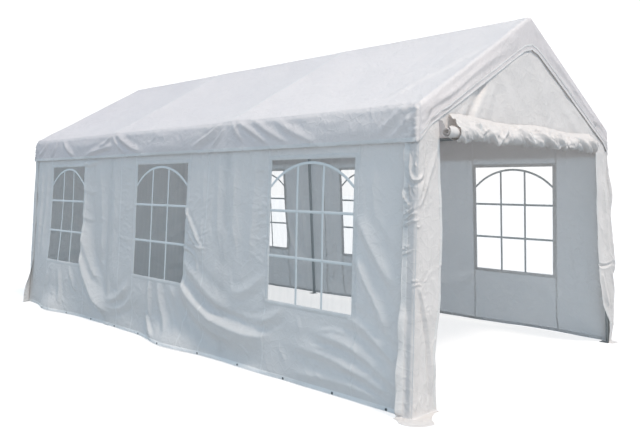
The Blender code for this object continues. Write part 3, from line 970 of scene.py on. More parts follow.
def vinyl_finish():
    finish = Finish("clear_vinyl")
    flat = finish.node("ShaderNodeUVMap", {"uv_map": "cloth"})
    stretched = finish.node(
        "ShaderNodeMapping", sockets={"Vector": flat, "Rotation": (0, 0, 0.5), "Scale": (22, 4, 1)}
    )
    haze_and_reflection_streaks = finish.node(
        "ShaderNodeTexNoise", sockets={"Vector": stretched, "Scale": 1.0, "Detail": 3.0}
    )
    soft = finish.node(
        "ShaderNodeTexNoise", sockets={"Vector": flat, "Scale": 3.0, "Detail": 2.0}
    )
    # The grey tint and the pale tilted streaks are partly the sheet's own haze and partly painted reflection of
    # the bright surroundings.
    shade = finish.mix(haze_and_reflection_streaks, (0.42, 0.47, 0.47, 1), (0.66, 0.71, 0.71, 1))
    bump = finish.node(
        "ShaderNodeBump",
        sockets={"Strength": 1.0, "Distance": 1.0, "Height": soft * 0.004 + haze_and_reflection_streaks * 0.0006},
    )
    return finish.surface(finish.node("ShaderNodeBsdfPrincipled", sockets={
        "Base Color": shade, "Roughness": 0.12 + 0.15 * soft, "Alpha": 0.07 + 0.16 * haze_and_reflection_streaks,
        "Normal": bump,
    }))


def print_finish():
    finish = Finish("printed_bars")
    flat = finish.node("ShaderNodeUVMap", {"uv_map": "cloth"})
    worn = finish.node(
        "ShaderNodeTexNoise", sockets={"Vector": flat, "Scale": 30.0, "Detail": 4.0}
    )
    shade = finish.mix(worn, (0.66, 0.68, 0.67, 1), (0.76, 0.78, 0.77, 1))
    return finish.surface(finish.node("ShaderNodeBsdfPrincipled", sockets={
        "Base Color": shade, "Roughness": 0.3 + 0.2 * worn,
    }))


clear_vinyl = vinyl_finish()
printed_bars = print_finish()

BAR_WIDTH = 0.021
BAR_PLACES = (0.345, 0.655)
CROSSBAR_PLACES = (0.32, 0.64)
ARCH_SPRING = 0.81
ARCH_TOP = 0.972


def lattice_lines(centre):
    """Lines of the printed bars on one pane."""
    left = centre - WINDOW_WIDTH / 2
    height = WINDOW_HEAD - WINDOW_SILL
    spring = WINDOW_SILL + ARCH_SPRING * height
    top = WINDOW_SILL + ARCH_TOP * height
    rise = top - spring
    half = WINDOW_WIDTH / 2
    radius = (half ** 2 + rise ** 2) / (2 * rise)
    angle = math.asin(half / radius)
    arch = [
        (centre + radius * math.sin(turn), top - radius + radius * math.cos(turn))
        for turn in np.linspace(-angle, angle, 9)
    ]
    lines = [arch]
    for share in BAR_PLACES:
        across = left + share * WINDOW_WIDTH
        drop = radius - math.sqrt(radius ** 2 - (across - centre) ** 2)
        lines.append([(across, WINDOW_SILL), (across, top - drop)])
    for share in CROSSBAR_PLACES:
        up = WINDOW_SILL + share * height
        lines.append([(left, up), (left + WINDOW_WIDTH, up)])
    return lines


def window_border(centre):
    """Lines of the welded border round one pane."""
    reach = WINDOW_WIDTH / 2 + 0.014
    low, high = WINDOW_SILL - 0.014, WINDOW_HEAD + 0.014
    return [
        [(centre - reach - 0.014, low), (centre + reach + 0.014, low)],
        [(centre - reach - 0.014, high), (centre + reach + 0.014, high)],
        [(centre - reach, low), (centre - reach, high)],
        [(centre + reach, low), (centre + reach, high)],
    ]


def make_windows(side_name, cloth):
    for bay, centre in enumerate(BAY_CENTRES, 1):
        across, up = np.meshgrid(
            spaced([centre - WINDOW_WIDTH / 2, centre + WINDOW_WIDTH / 2], 0.02),
            spaced([WINDOW_SILL, WINDOW_HEAD], 0.02),
        )
        pane = sheet_mesh(
            f"clear_pane_{side_name}_{bay}", cloth, across, up, clear_vinyl, thickness=0.0
        )
        bars = tape(
            f"printed_lattice_{side_name}_{bay}", cloth, lattice_lines(centre),
            BAR_WIDTH, printed_bars, above=0.0006,
        )
        border = tape(
            f"window_border_{side_name}_{bay}", cloth, window_border(centre),
            0.034, seam_cloth, above=0.0012,
        )
        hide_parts(f"window_{side_name}_{bay}")
        for piece in (pane, bars):
            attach(piece, "root")
        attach(border, "root")


make_windows("left", left_wall)
make_windows("right", right_wall)


# The roof cover
# One sewn cover of heavier white tarpaulin lies over the rafters. It sags between
# the frames and hangs down as a valance at the eaves and along both gables.

roof_low, roof_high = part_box("roof_cover")
RIDGE_Z = roof_high.z - 0.003
EAVE_Z = 2.0
EAVE_X = 1.436
ROOF_END = roof_high.y + END_LEAN * roof_low.z - 0.004
VALANCE_DROP = 0.245
SLOPE = math.atan2(RIDGE_Z - EAVE_Z, EAVE_X)
SLOPE_LENGTH = math.hypot(EAVE_X, RIDGE_Z - EAVE_Z)
ROUNDING = 0.030


def rounded_place(place, lift):
    """Round the cover's edges over the tubes, then stand a place out from it."""
    place = np.array(place)
    for _ in range(3):
        reach, outward = edge_reach(place)
        place = place - np.maximum(reach - ROUNDING, 0)[..., None] * outward
    _, outward = edge_reach(place)
    place = place + lift[..., None] * outward
    place[..., 1] = leaned(place[..., 1], place[..., 2])
    return place


def edge_reach(place):
    """Distance out from the centre of the rounding, and the way it points."""
    side = np.where(place[..., 0] < 0, -1.0, 1.0)
    end = np.where(place[..., 1] < 0, -1.0, 1.0)
    nothing = np.zeros(side.shape)
    full = np.ones(side.shape)
    planes = [
        ((math.sin(SLOPE) * full, nothing, math.cos(SLOPE) * full), RIDGE_Z * math.cos(SLOPE)),
        ((-math.sin(SLOPE) * full, nothing, math.cos(SLOPE) * full), RIDGE_Z * math.cos(SLOPE)),
        ((math.cos(LEAN) * full, nothing, math.sin(LEAN) * full),
         EAVE_X * math.cos(LEAN) + EAVE_Z * math.sin(LEAN)),
        ((nothing, end, nothing), ROOF_END),
    ]
    total = np.zeros(place.shape)
    square = np.zeros(side.shape)
    mirrored = place * np.stack([side, full, full], -1)
    for normal, distance in planes:
        normal = np.stack(normal, -1)
        reach = np.maximum((mirrored * normal).sum(-1) - distance + ROUNDING, 0)
        total = total + reach[..., None] * normal
        square = square + reach ** 2
    total = total * np.stack([side, full, full], -1)
    length = np.linalg.norm(total, axis=-1)
    outward = total / np.maximum(length, 1e-9)[..., None]
    return np.sqrt(square), outward


def roof_place(across, down, lift):
    """The cover's section: down the slope from the ridge, then down the valance."""
    side = np.where(down < 0, -1.0, 1.0)
    run = np.abs(down)
    on_slope = np.minimum(run, SLOPE_LENGTH)
    hung = np.maximum(run - SLOPE_LENGTH, 0.0)
    x = side * (on_slope * math.cos(SLOPE) + hung * math.sin(LEAN))
    z = RIDGE_Z - on_slope * math.sin(SLOPE) - hung * math.cos(LEAN)
    return rounded_place(np.stack([x, across, z], -1), lift)


def sag(across, down):
    """Each bay hangs like a shallow hammock between its rafters."""
    depth = np.zeros(np.shape(across))
    for start, end in zip(FRAMES, FRAMES[1:]):
        share = np.clip((across - start) / (end - start), 0, 1)
        depth = np.maximum(depth, 4 * share * (1 - share))
    run = np.clip(np.abs(down) / SLOPE_LENGTH, 0, 1)
    return -0.052 * depth * np.sin(math.pi * run) ** 0.7


def tubes_below(across, down):
    """The cover can't sink past the rafters and rails that it lies on."""
    run = np.abs(down)
    to_rafter = np.min([np.abs(across - frame_y) for frame_y in FRAMES], axis=0)
    to_rail = np.minimum(run, np.abs(run - SLOPE_LENGTH))
    free = np.maximum(np.minimum(to_rafter, to_rail) - 0.02, 0)
    return np.where(run > SLOPE_LENGTH, -0.003, -0.003 - 0.5 * free)


def on_left(points):
    """Points given as distance along and below the eave, on the left side."""
    return [(across, -(SLOPE_LENGTH + below)) for across, below in points]


def on_right(points):
    return [(across, SLOPE_LENGTH + below) for across, below in points]


def valance_folds(to_side):
    """Swags of a side valance, hung from the rafter ends."""
    return [
        fold(to_side([(-2.96, -0.02), (-2.84, 0.07), (-2.66, 0.21)]), 0.024, 0.016, crisp=0.8),
        fold(to_side([(-2.98, 0.06), (-2.90, 0.14), (-2.78, 0.23)]), 0.018, 0.012, crisp=0.8),
        fold(to_side([(-2.40, 0.05), (-2.20, 0.08), (-2.00, 0.05)]), 0.030, 0.006),
        fold(to_side([(-2.10, 0.23), (-1.82, 0.13), (-1.52, -0.01)]),
             0.026, 0.014, lean=0.3, crisp=0.9),
        fold(to_side([(-1.82, 0.23), (-1.55, 0.12), (-1.28, -0.01)]),
             0.020, 0.013, lean=0.3, crisp=0.9),
        fold(to_side([(-1.58, 0.23), (-1.34, 0.11), (-1.08, -0.01)]),
             0.020, 0.016, lean=0.3, crisp=0.9),
        fold(to_side([(-1.24, 0.20), (-1.12, 0.10), (-1.03, -0.01)]), 0.016, 0.012, crisp=0.8),
        fold(to_side([(-0.92, -0.02), (-0.74, 0.09), (-0.44, 0.21)]),
             0.026, 0.020, lean=-0.3, crisp=0.9),
        fold(to_side([(-0.97, 0.02), (-0.88, 0.12), (-0.76, 0.22)]), 0.018, 0.012, crisp=0.8),
        fold(to_side([(-0.20, 0.04), (0.00, 0.07), (0.22, 0.04)]), 0.030, 0.006),
        fold(to_side([(0.36, 0.22), (0.66, 0.13), (0.97, -0.01)]),
             0.026, 0.020, lean=0.3, crisp=0.9),
        fold(to_side([(0.66, 0.22), (0.84, 0.14), (1.00, 0.02)]), 0.020, 0.014, crisp=0.8),
        fold(to_side([(0.94, 0.13), (1.12, 0.14), (1.34, 0.17), (1.66, 0.22)]),
             0.028, 0.022, lean=0.2, crisp=0.9),
        fold(to_side([(1.02, 0.00), (1.12, 0.08), (1.30, 0.12)]), 0.022, 0.018, crisp=0.8),
        fold(to_side([(1.84, 0.22), (2.02, 0.14), (2.22, 0.00)]),
             0.026, 0.016, lean=0.3, crisp=0.9),
        fold(to_side([(2.34, 0.00), (2.40, 0.12), (2.52, 0.22)]), 0.026, 0.012, crisp=0.7),
        fold(to_side([(2.62, 0.00), (2.74, 0.12), (2.90, 0.18)]), 0.026, 0.014, crisp=0.7),
        bulge(to_side([(-2.35, 0.15)])[0], (0.35, 0.06), 0.010),
        bulge(to_side([(0.00, 0.17)])[0], (0.35, 0.06), 0.012),
        bulge(to_side([(1.62, 0.10)])[0], (0.30, 0.05), 0.008),
        lambda across, down: 0.006 * ease((np.abs(down) - SLOPE_LENGTH) / 0.12),
    ]


def corner_puckers(to_side):
    """Gathers stacked down the cover's corners, where its two valances are sewn."""
    folds = []
    for end in (-1, 1):
        for place, below in enumerate(np.arange(0.02, 0.22, 0.021)):
            reach = 0.10 + 0.03 * math.sin(place * 2.1)
            folds.append(fold(
                to_side([
                    (end * (ROOF_END - 0.006), below), (end * (ROOF_END - 0.5 * reach), below + 0.006),
                    (end * (ROOF_END - reach), below - 0.004),
                ]), 0.0065, 0.0075, crisp=0.8, trough=0.5, fade=0.25,
            ))
    return folds


def eave_puckers(seed, to_side):
    """Small creases that run down from the eave on to the valance, thick at the frames."""
    folds = []
    for frame_y in FRAMES:
        low, high = to_side([(frame_y - 0.34, -0.06), (frame_y + 0.34, 0.12)])
        low, high = np.minimum(low, high), np.maximum(low, high)
        folds += creases(seed, 26, low, high, math.pi / 2, 1.0, 0.12, 0.008, 0.0065)
        seed += 1
    low, high = to_side([(-2.95, 0.02), (2.95, 0.22)])
    low, high = np.minimum(low, high), np.maximum(low, high)
    return folds + creases(seed, 130, low, high, math.pi / 2, 1.2, 0.12, 0.010, 0.0045)


def near_ends(across, down):
    return ease((np.abs(across) - (ROOF_END - 0.30)) / 0.30) * ease(
        (np.abs(down) - (SLOPE_LENGTH - 0.12)) / 0.12
    )


def held_edges(shapes):
    """Folds die out where the cover is sewn to the gable valances."""
    def shape(across, down):
        total = sum(one(across, down) for one in shapes)
        return total * ease((ROOF_END - np.abs(across)) / 0.02)

    return shape


roof_shapes = [
    sag,
    *valance_folds(on_left),
    *valance_folds(on_right),
    *corner_puckers(on_left),
    *corner_puckers(on_right),
    *eave_puckers(300, on_left),
    *eave_puckers(310, on_right),
    fold([(-3.00, -0.45), (-2.78, -0.90), (-2.46, -1.62)], 0.045, 0.010, crisp=0.3, fade=0.3),
    fold([(-3.00, 0.75), (-2.75, 1.15), (-2.50, 1.62)], 0.045, 0.010, crisp=0.3, fade=0.3),
    *creases(320, 30, (-2.95, -1.60), (-2.60, -0.20), 0.9, 0.4, 0.22, 0.014, 0.0040),
    *creases(321, 24, (-2.95, 0.20), (-2.60, 1.60), 2.2, 0.4, 0.22, 0.014, 0.0040),
    *creases(322, 20, (2.60, -1.60), (2.95, 1.60), 1.57, 0.8, 0.22, 0.014, 0.0040),
    *creases(323, 40, (-2.90, -1.60), (2.90, 1.60), 1.57, 1.4, 0.35, 0.020, 0.0025),
    waves(32, 0.060, 0.0040, heading=0.4, spread=1.6, sharp=0.6, where=near_ends),
    waves(33, 0.60, 0.0030, spread=math.pi),
]
roof_sheet = Cloth(roof_place, [held_edges(roof_shapes)], tubes_below)

# Painted shade: the roof cloth is made darker towards the back end of the tent.
roof_cloth = tarpaulin_finish(
    "roof_tarpaulin", (0.965, 0.925, 0.905, 1), (0.82, 0.78, 0.79, 1), 0.38, painted_far_shade=0.13
)


BAND_DROP = 0.22


def gable_hem_z(x):
    """Lower edge of a gable valance, rounded at its peak."""
    knee_x, knee_z, peak = 1.32, 1.87, 2.535
    run = np.abs(x)
    straight = knee_z + (peak + 0.03 - knee_z) * (knee_x - run) / knee_x
    rounded = straight - 0.03 * np.exp(-(run / 0.07) ** 2)
    corner_z = EAVE_Z - VALANCE_DROP * math.cos(LEAN)
    corner = knee_z - (run - knee_x) * (knee_z - corner_z) / (EAVE_X - knee_x)
    return np.where(run > knee_x, corner, rounded)


def gable_valance_place(end):
    """Band that hangs from the roof's gable edge: x at its top, and down the band."""
    def place(across, down, lift):
        share = down / BAND_DROP
        run = np.abs(across)
        side = np.where(across < 0, -1.0, 1.0)
        top = RIDGE_Z - run * math.tan(SLOPE)
        drop = top - gable_hem_z(across)
        splay = ease((run - 1.20) / (EAVE_X - 1.20)) * drop * share * math.tan(LEAN)
        y = np.full(run.shape, end * ROOF_END)
        return rounded_place(np.stack([side * (run + splay), y, top - drop * share], -1), lift)

    return place


def gable_band_shapes(seed):
    return [
        fold([(-1.42, 0.05), (-1.10, 0.10), (-0.70, 0.085), (-0.18, 0.12)], 0.030, 0.010, crisp=0.5),
        fold([(-1.36, 0.15), (-1.05, 0.17), (-0.62, 0.14)], 0.022, 0.007, crisp=0.5),
        fold([(-0.34, 0.02), (-0.26, 0.10), (-0.30, 0.19)], 0.030, 0.006, crisp=0.5),
        fold([(1.42, 0.06), (1.05, 0.10), (0.55, 0.08), (0.12, 0.12)], 0.030, 0.008, crisp=0.5),
        fold([(1.20, 0.16), (0.80, 0.15), (0.40, 0.17)], 0.022, 0.005, crisp=0.5),
        fold([(0.05, 0.02), (0.12, 0.10), (0.22, 0.18)], 0.026, 0.006, crisp=0.5),
        *creases(seed, 44, (-1.44, 0.02), (-1.12, 0.21), 0.5, 0.7, 0.14, 0.009, 0.0060),
        *creases(seed + 1, 44, (1.12, 0.02), (1.44, 0.21), -0.5, 0.7, 0.14, 0.009, 0.0060),
        *creases(seed + 2, 40, (-1.20, 0.02), (1.20, 0.20), 0.7, 1.2, 0.16, 0.012, 0.0025),
        waves(seed + 3, 0.30, 0.0025, spread=math.pi),
        lambda across, down: 0.004 * ease(down / 0.09),
    ]


def held_top(shapes):
    def shape(across, down):
        total = sum(one(across, down) for one in shapes)
        ends = ease((EAVE_X - np.abs(across)) / 0.05)
        return total * ease(down / 0.055) * ends

    return shape


def band_floor(across, down):
    return np.full(np.shape(across), -0.001)


gable_bands = {
    end: Cloth(gable_valance_place(end), [held_top(gable_band_shapes(seed))], band_floor)
    for end, seed in ((-1, 41), (1, 51))
}


def make_roof_cover():
    reach = SLOPE_LENGTH + VALANCE_DROP
    edge = ROOF_END - 0.04
    columns = spaced([-ROOF_END, -edge, -1.0, 1.0, edge, ROOF_END], [0.01, *[0.019] * 3, 0.01])
    half_rows = spaced(
        [0.0, 0.04, SLOPE_LENGTH - 0.04, SLOPE_LENGTH, SLOPE_LENGTH + 0.04, reach],
        [0.01, 0.040, 0.01, 0.01, 0.0128],
    )
    rows = np.concatenate([-half_rows[:0:-1], half_rows])
    across, down = np.meshgrid(columns, rows)
    cover = sheet_mesh("roof_cover_cloth", roof_sheet, across, down, roof_cloth, thickness=0.0)
    slope_lines = rows[np.abs(rows) <= SLOPE_LENGTH + 1e-6]
    hung = half_rows[half_rows >= SLOPE_LENGTH - 1e-6] - SLOPE_LENGTH
    shares = hung / hung[-1]
    bands = []
    for end in (-1, 1):
        band_sheet = gable_bands[end]
        band_across, band_down = np.meshgrid(slope_lines * math.cos(SLOPE), shares * BAND_DROP)
        bands.append(sheet_mesh(
            "gable_band", band_sheet, band_across, band_down, roof_cloth, thickness=0.0
        ))
    shape = bmesh.new()
    for part in (cover, *bands):
        shape.from_mesh(part.data)
    for band in bands:
        bpy.data.objects.remove(band)
    bmesh.ops.remove_doubles(shape, verts=shape.verts, dist=0.0015)
    shape.to_mesh(cover.data)
    shape.free()
    cover.data.shade_smooth()
    solid = cover.modifiers.new("thickness", "SOLIDIFY")
    solid.thickness = 0.0015
    solid.offset = -1
    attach(cover, "root")
    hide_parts("roof_cover")
    return cover


make_roof_cover()


def make_roof_bands():
    """Welded hems, a seam over each inner rafter, and the piping of the gable edges."""
    hem = SLOPE_LENGTH + VALANCE_DROP - 0.014
    side_hems = [[(-ROOF_END + 0.005, down), (ROOF_END - 0.005, down)] for down in (-hem, hem)]
    hems = tape("valance_hems", roof_sheet, side_hems, 0.028, seam_cloth, above=0.0014)
    seams = [
        [(place, side * 0.03), (place, side * (SLOPE_LENGTH - 0.02))]
        for place in (-0.985, 1.015) for side in (-1, 1)
    ]
    welds = tape("roof_seams", roof_sheet, seams, 0.030, seam_cloth, above=0.0010)
    bands = []
    for end, name in ((-1, "front"), (1, "back")):
        across = np.linspace(-EAVE_X + 0.01, EAVE_X - 0.01, 120)
        top = RIDGE_Z - np.abs(across) * math.tan(SLOPE)
        drop = top - gable_hem_z(across)
        lines = [
            np.stack([across, BAND_DROP * (1 - gap / drop)], -1) for gap in (0.006, 0.042)
        ]
        bands.append(tape(
            f"gable_piping_{name}", gable_bands[end], lines, 0.011, seam_cloth, above=0.0030
        ))
    for piece in (hems, welds, *bands):
        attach(piece, "root")


make_roof_bands()


# The end walls
# The same tarpaulin as the side walls. Each end wall wraps round the corner legs
# and its spare length lies out on the ground. The front one is open in the middle:
# its door is rolled up against the gable panel.

panel_low, panel_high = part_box("front_gable")
GABLE_SEAM = panel_low.z
PANEL_Y = -panel_low.y + END_LEAN * GABLE_SEAM
RETURN_END = 0.098
CORNER_ROUND = 0.028


def rounded_turn(run, radius):
    """A path that turns a square corner: along one side, then along the other."""
    quarter = radius * math.pi / 4
    turn = np.clip((run + quarter) / (2 * quarter), 0, 1) * math.pi / 2
    ahead = radius - radius * np.cos(turn) + np.maximum(run - quarter, 0)
    behind = radius - radius * np.sin(turn) + np.maximum(-run - quarter, 0)
    return ahead, behind, turn


def corner_x(z):
    """Half the width of an end wall at a height, outside the corner legs."""
    return FOOT_X + 0.006 - z * math.tan(LEAN)


def from_corner(across, up):
    """Distance along an end wall from its corner; less than nothing on the return."""
    return corner_x(np.maximum(up, 0)) - np.abs(across)


def end_place(end, swing=None):
    """An end wall: x on the wall, round the corner leg, and out along the ground."""
    def place(across, up, lift):
        side = np.where(across < 0, -1.0, 1.0)
        out, rise, _ = rounded_turn(-up, 0.014)
        settle = np.clip((0.012 - up) / 0.024, 0, 1)
        half = corner_x(rise)
        ahead, behind, turn = rounded_turn(half - np.abs(across), CORNER_ROUND)
        push = out + lift * (1 - settle)
        x = half - ahead + np.cos(turn) * push
        y = PANEL_Y - behind + np.sin(turn) * push
        if swing is not None:
            beyond = np.maximum(behind - CORNER_ROUND, 0)
            angle = swing(np.maximum(up, 0))
            x = x + beyond * np.sin(angle)
            y = y + beyond * (1 - np.cos(angle))
        z = np.maximum(rise + lift * settle, 0.003)
        return np.stack([side * x, leaned(end * y, z), z], -1)

    return place


def leg_behind(across, up):
    """An end wall lies on its corner leg and is free beside it."""
    run = from_corner(across, up)
    free = np.maximum(np.abs(run - 0.028) - 0.026, 0)
    return -0.0025 - 0.6 * np.where(run > 0, free, 0)


def door_edge(side_name):
    """Half width of the doorway at a height on one side."""
    edges = {
        "left": ((0.0, 1.29), (0.35, 1.30), (0.55, 1.265), (0.75, 1.232), (1.2, 1.208), (1.8, 1.235)),
        "right": ((0.0, 1.48), (0.22, 1.465), (0.30, 1.42), (0.40, 1.345), (0.53, 1.305), (0.70, 1.265),
                  (0.94, 1.235), (1.35, 1.21), (1.8, 1.182)),
    }
    heights, halves = zip(*edges[side_name])

    def edge(up):
        return np.interp(up, heights, halves)

    return edge


def flap_length(side_name, run):
    """How far the spare length lies out on the ground, by distance from the corner."""
    if side_name == "left":
        return 0.055 + 0.09 * np.exp(-((run - 0.03) / 0.06) ** 2) - 0.06 * ease((run - 0.1) / 0.2)
    return 0.045 + 0.012 * np.cos(run * 40)


def strip_grid(side, side_name, edge):
    """Grid of one front strip, from its end on the side wall to the doorway."""
    columns = np.linspace(0, 1, 76)
    rows = np.linspace(0, 1, 260)
    share_across, share_up = np.meshgrid(columns, rows)
    top = GABLE_SEAM + 0.01
    if side_name == "left":
        top = top + 0.11 * ease((share_across - 0.35) / 0.20)
    up = share_up * (top + 0.12) - 0.12
    outer = corner_x(np.maximum(up, 0)) + RETURN_END
    inner = edge(np.maximum(up, 0.0))
    across = outer + (inner - outer) * share_across
    reach = flap_length(side_name, from_corner(across, up))
    up = np.where(up < 0, up * np.maximum(reach, 0.02) / 0.12, up)
    return side * across, up


def curled_band(across, up):
    """The doubled hem at the end of the return curls away from the side wall."""
    beyond = -from_corner(across, up)
    low = 1 - ease((up - 0.62) / 0.14)
    start = 0.070 - 0.030 * low
    height = 0.012 + 0.026 * low
    wavy = 1 + 0.25 * np.sin(up * 9.0) + 0.15 * np.sin(up * 23.0 + 1.0)
    return height * ease((beyond - start) / (RETURN_END - start)) * wavy * ease((up + 0.05) / 0.1)


def beside_corner(side, points):
    """Points given as distance from an end wall's corner, and height."""
    return [(side * (corner_x(height) - run), height) for run, height in points]


def left_strip_shapes():
    def on_strip(*points):
        return beside_corner(-1, points)

    chance = np.random.default_rng(60)
    gathers = []
    for step in range(13):
        start = 0.040 + 0.006 * step + chance.uniform(-0.010, 0.010)
        reach = chance.uniform(0.025, 0.060)
        height = 0.955 - 0.026 * step + chance.uniform(-0.008, 0.008)
        gathers.append(fold(
            on_strip((start, height), (start + reach, height + chance.uniform(0.004, 0.024))),
            chance.uniform(0.005, 0.009), chance.uniform(0.002, 0.0055), crisp=0.8, fade=0.4,
        ))
    return [
        curled_band,
        *gathers,
        # the long fold down the front face, from the corner to the doorway's edge
        fold(on_strip((0.00, 0.85), (0.065, 0.68), (0.11, 0.52), (0.155, 0.30), (0.165, 0.08)),
             0.009, -0.009, crisp=0.9, trough=0.0, fade=0.08),
        fold(on_strip((0.02, 0.85), (0.088, 0.68), (0.135, 0.52), (0.18, 0.30), (0.185, 0.08)),
             0.022, 0.014, lean=0.4, crisp=0.8, trough=0.1, fade=0.08),
        fold(on_strip((-0.01, 0.80), (0.02, 0.62), (0.05, 0.40), (0.07, 0.06)),
             0.045, -0.012, crisp=0.2, trough=0.1, fade=0.15),
        fold(on_strip((0.10, 0.50), (0.12, 0.36), (0.13, 0.10)), 0.010, 0.004, crisp=0.8),
        bulge(on_strip((0.0, 0.95))[0], (0.035, 0.11), -0.008),
        # the slack top of the strip hangs in a loop round the corner
        fold(on_strip((-0.05, 1.73), (-0.057, 1.58), (-0.02, 1.51), (0.042, 1.56), (0.057, 1.73)),
             0.014, 0.014, crisp=0.8, trough=0.5, fade=0.15),
        fold(on_strip((0.20, 1.72), (0.10, 1.52), (0.045, 1.39), (-0.005, 1.32)),
             0.020, 0.010, crisp=0.7, fade=0.2),
        fold(on_strip((0.10, 1.64), (0.03, 1.45), (-0.01, 1.34)), 0.013, 0.009, crisp=0.7),
        fold(on_strip((-0.09, 1.74), (-0.118, 1.60), (-0.10, 1.43), (-0.045, 1.33)),
             0.012, 0.014, crisp=0.8, fade=0.15),
        fold(on_strip((-0.075, 1.52), (-0.03, 1.38)), 0.010, 0.011, crisp=0.8),
        # short gathers where the return is tied back
        fold(on_strip((-0.105, 1.285), (-0.06, 1.31), (-0.01, 1.345)), 0.008, 0.012, crisp=0.8),
        fold(on_strip((-0.105, 1.250), (-0.06, 1.275), (0.00, 1.320)), 0.008, 0.012, crisp=0.8),
        fold(on_strip((-0.105, 1.215), (-0.05, 1.240), (0.00, 1.265)), 0.008, 0.009, crisp=0.8),
        fold(on_strip((-0.105, 1.065), (-0.07, 1.080), (-0.04, 1.100)), 0.008, 0.011, crisp=0.8),
        fold(on_strip((-0.105, 1.030), (-0.06, 1.050), (-0.02, 1.060)), 0.008, 0.011, crisp=0.8),
        fold(on_strip((-0.03, 0.865), (0.00, 0.875), (0.04, 0.870)), 0.008, 0.010, crisp=0.8),
        fold(on_strip((-0.03, 0.830), (0.02, 0.850), (0.06, 0.835)), 0.008, 0.010, crisp=0.8),
        *creases(61, 46, (-1.59, 1.34), (-1.38, 1.78), 1.3, 1.0, 0.09, 0.006, 0.0070),
        *creases(67, 20, (-1.57, 1.20), (-1.44, 1.36), 0.3, 0.6, 0.07, 0.006, 0.0060),
        *creases(63, 30, (-1.63, 0.10), (-1.54, 1.20), 0.1, 0.5, 0.06, 0.006, 0.0035),
        *creases(64, 34, (-1.50, 0.05), (-1.22, 1.75), 1.3, 0.8, 0.16, 0.010, 0.0030),
        *creases(65, 24, (-1.60, -0.08), (-1.25, 0.12), 1.5, 0.7, 0.09, 0.010, 0.0050),
        waves(66, 0.30, 0.0025, spread=math.pi),
    ]


def right_strip_shapes():
    def on_strip(*points):
        return beside_corner(1, points)

    return [
        curled_band,
        # the strip is drawn aside, so its outer half stands off the leg
        bulge(on_strip((-0.03, 0.84))[0], (0.10, 0.40), 0.060),
        bulge(on_strip((-0.02, 1.40))[0], (0.08, 0.26), 0.034),
        bulge(on_strip((-0.02, 0.30))[0], (0.08, 0.20), 0.026),
        fold([(1.30, 1.86), (1.384, 1.79), (1.416, 1.57), (1.462, 1.275), (1.492, 1.05), (1.505, 0.80)],
             0.013, -0.030, crisp=0.7, trough=0.2, fade=0.06),
        fold([(1.34, 1.78), (1.36, 1.45), (1.40, 1.15), (1.42, 0.86)], 0.030, 0.010, fade=0.12),
        # it is twisted over at knee height
        fold([(1.22, 0.78), (1.30, 0.745), (1.40, 0.74), (1.50, 0.77)], 0.013, -0.014, crisp=0.8),
        fold([(1.48, 0.72), (1.53, 0.56), (1.57, 0.40), (1.57, 0.24)],
             0.016, -0.020, crisp=0.7, trough=0.3, fade=0.15),
        fold([(1.32, 0.68), (1.38, 0.52), (1.46, 0.34)], 0.022, 0.014, crisp=0.7, fade=0.15),
        *creases(71, 36, (1.14, 0.10), (1.50, 1.75), 1.75, 0.4, 0.20, 0.010, 0.0040),
        *creases(72, 30, (1.46, 0.10), (1.64, 1.75), 1.5, 0.8, 0.10, 0.008, 0.0040),
        *creases(73, 16, (1.40, -0.08), (1.60, 0.20), 1.5, 0.7, 0.10, 0.010, 0.0060),
        waves(74, 0.30, 0.0030, spread=math.pi),
    ]


end_cloth = tarpaulin_finish(
    "end_wall_tarpaulin", (0.945, 0.91, 0.885, 1), (0.88, 0.85, 0.825, 1), 0.38
)


def make_strips():
    for side, side_name, shapes in (
        (-1, "left", left_strip_shapes()), (1, "right", right_strip_shapes()),
    ):
        strip_sheet = Cloth(end_place(-1), shapes, leg_behind)
        edge = door_edge(side_name)
        across, up = strip_grid(side, side_name, edge)
        strip = sheet_mesh(f"front_strip_{side_name}", strip_sheet, across, up, end_cloth)
        heights = np.linspace(0.03, GABLE_SEAM - 0.01, 60)
        line = np.stack([side * (edge(heights) + 0.013), heights], -1)
        outer = np.stack([side * (corner_x(heights) + RETURN_END - 0.020), heights], -1)
        hem = tape(
            f"door_hem_{side_name}", strip_sheet, [line], 0.026, seam_cloth, 0.0016, 0.007
        )
        band = tape(
            f"return_hem_{side_name}", strip_sheet, [outer], 0.034, seam_cloth, 0.0016, 0.007
        )
        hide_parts(f"front_wall_{side_name}")
        for piece in (strip, hem, band):
            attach(piece, "root")


make_strips()


def panel_top(across):
    """Height of the underside of the roof cover over an end wall."""
    return RIDGE_Z - 0.014 - np.abs(across) * math.tan(SLOPE)


def rafter_behind(across, up):
    """The gable cloth lies against the rafters near the roof and is free below."""
    depth = (panel_top(across) - up) * math.cos(SLOPE)
    return -0.0025 - 0.5 * np.maximum(np.minimum(depth - 0.05, 0.3), 0)


def under_band(across, up):
    """Behind the gable band, and behind the rolled door, there is little room."""
    covered = ease((up - gable_hem_z(across) + 0.05) / 0.05)
    return np.minimum(0.026 - 0.025 * covered, 0.002 + 0.5 * np.maximum(up - 1.94, 0))


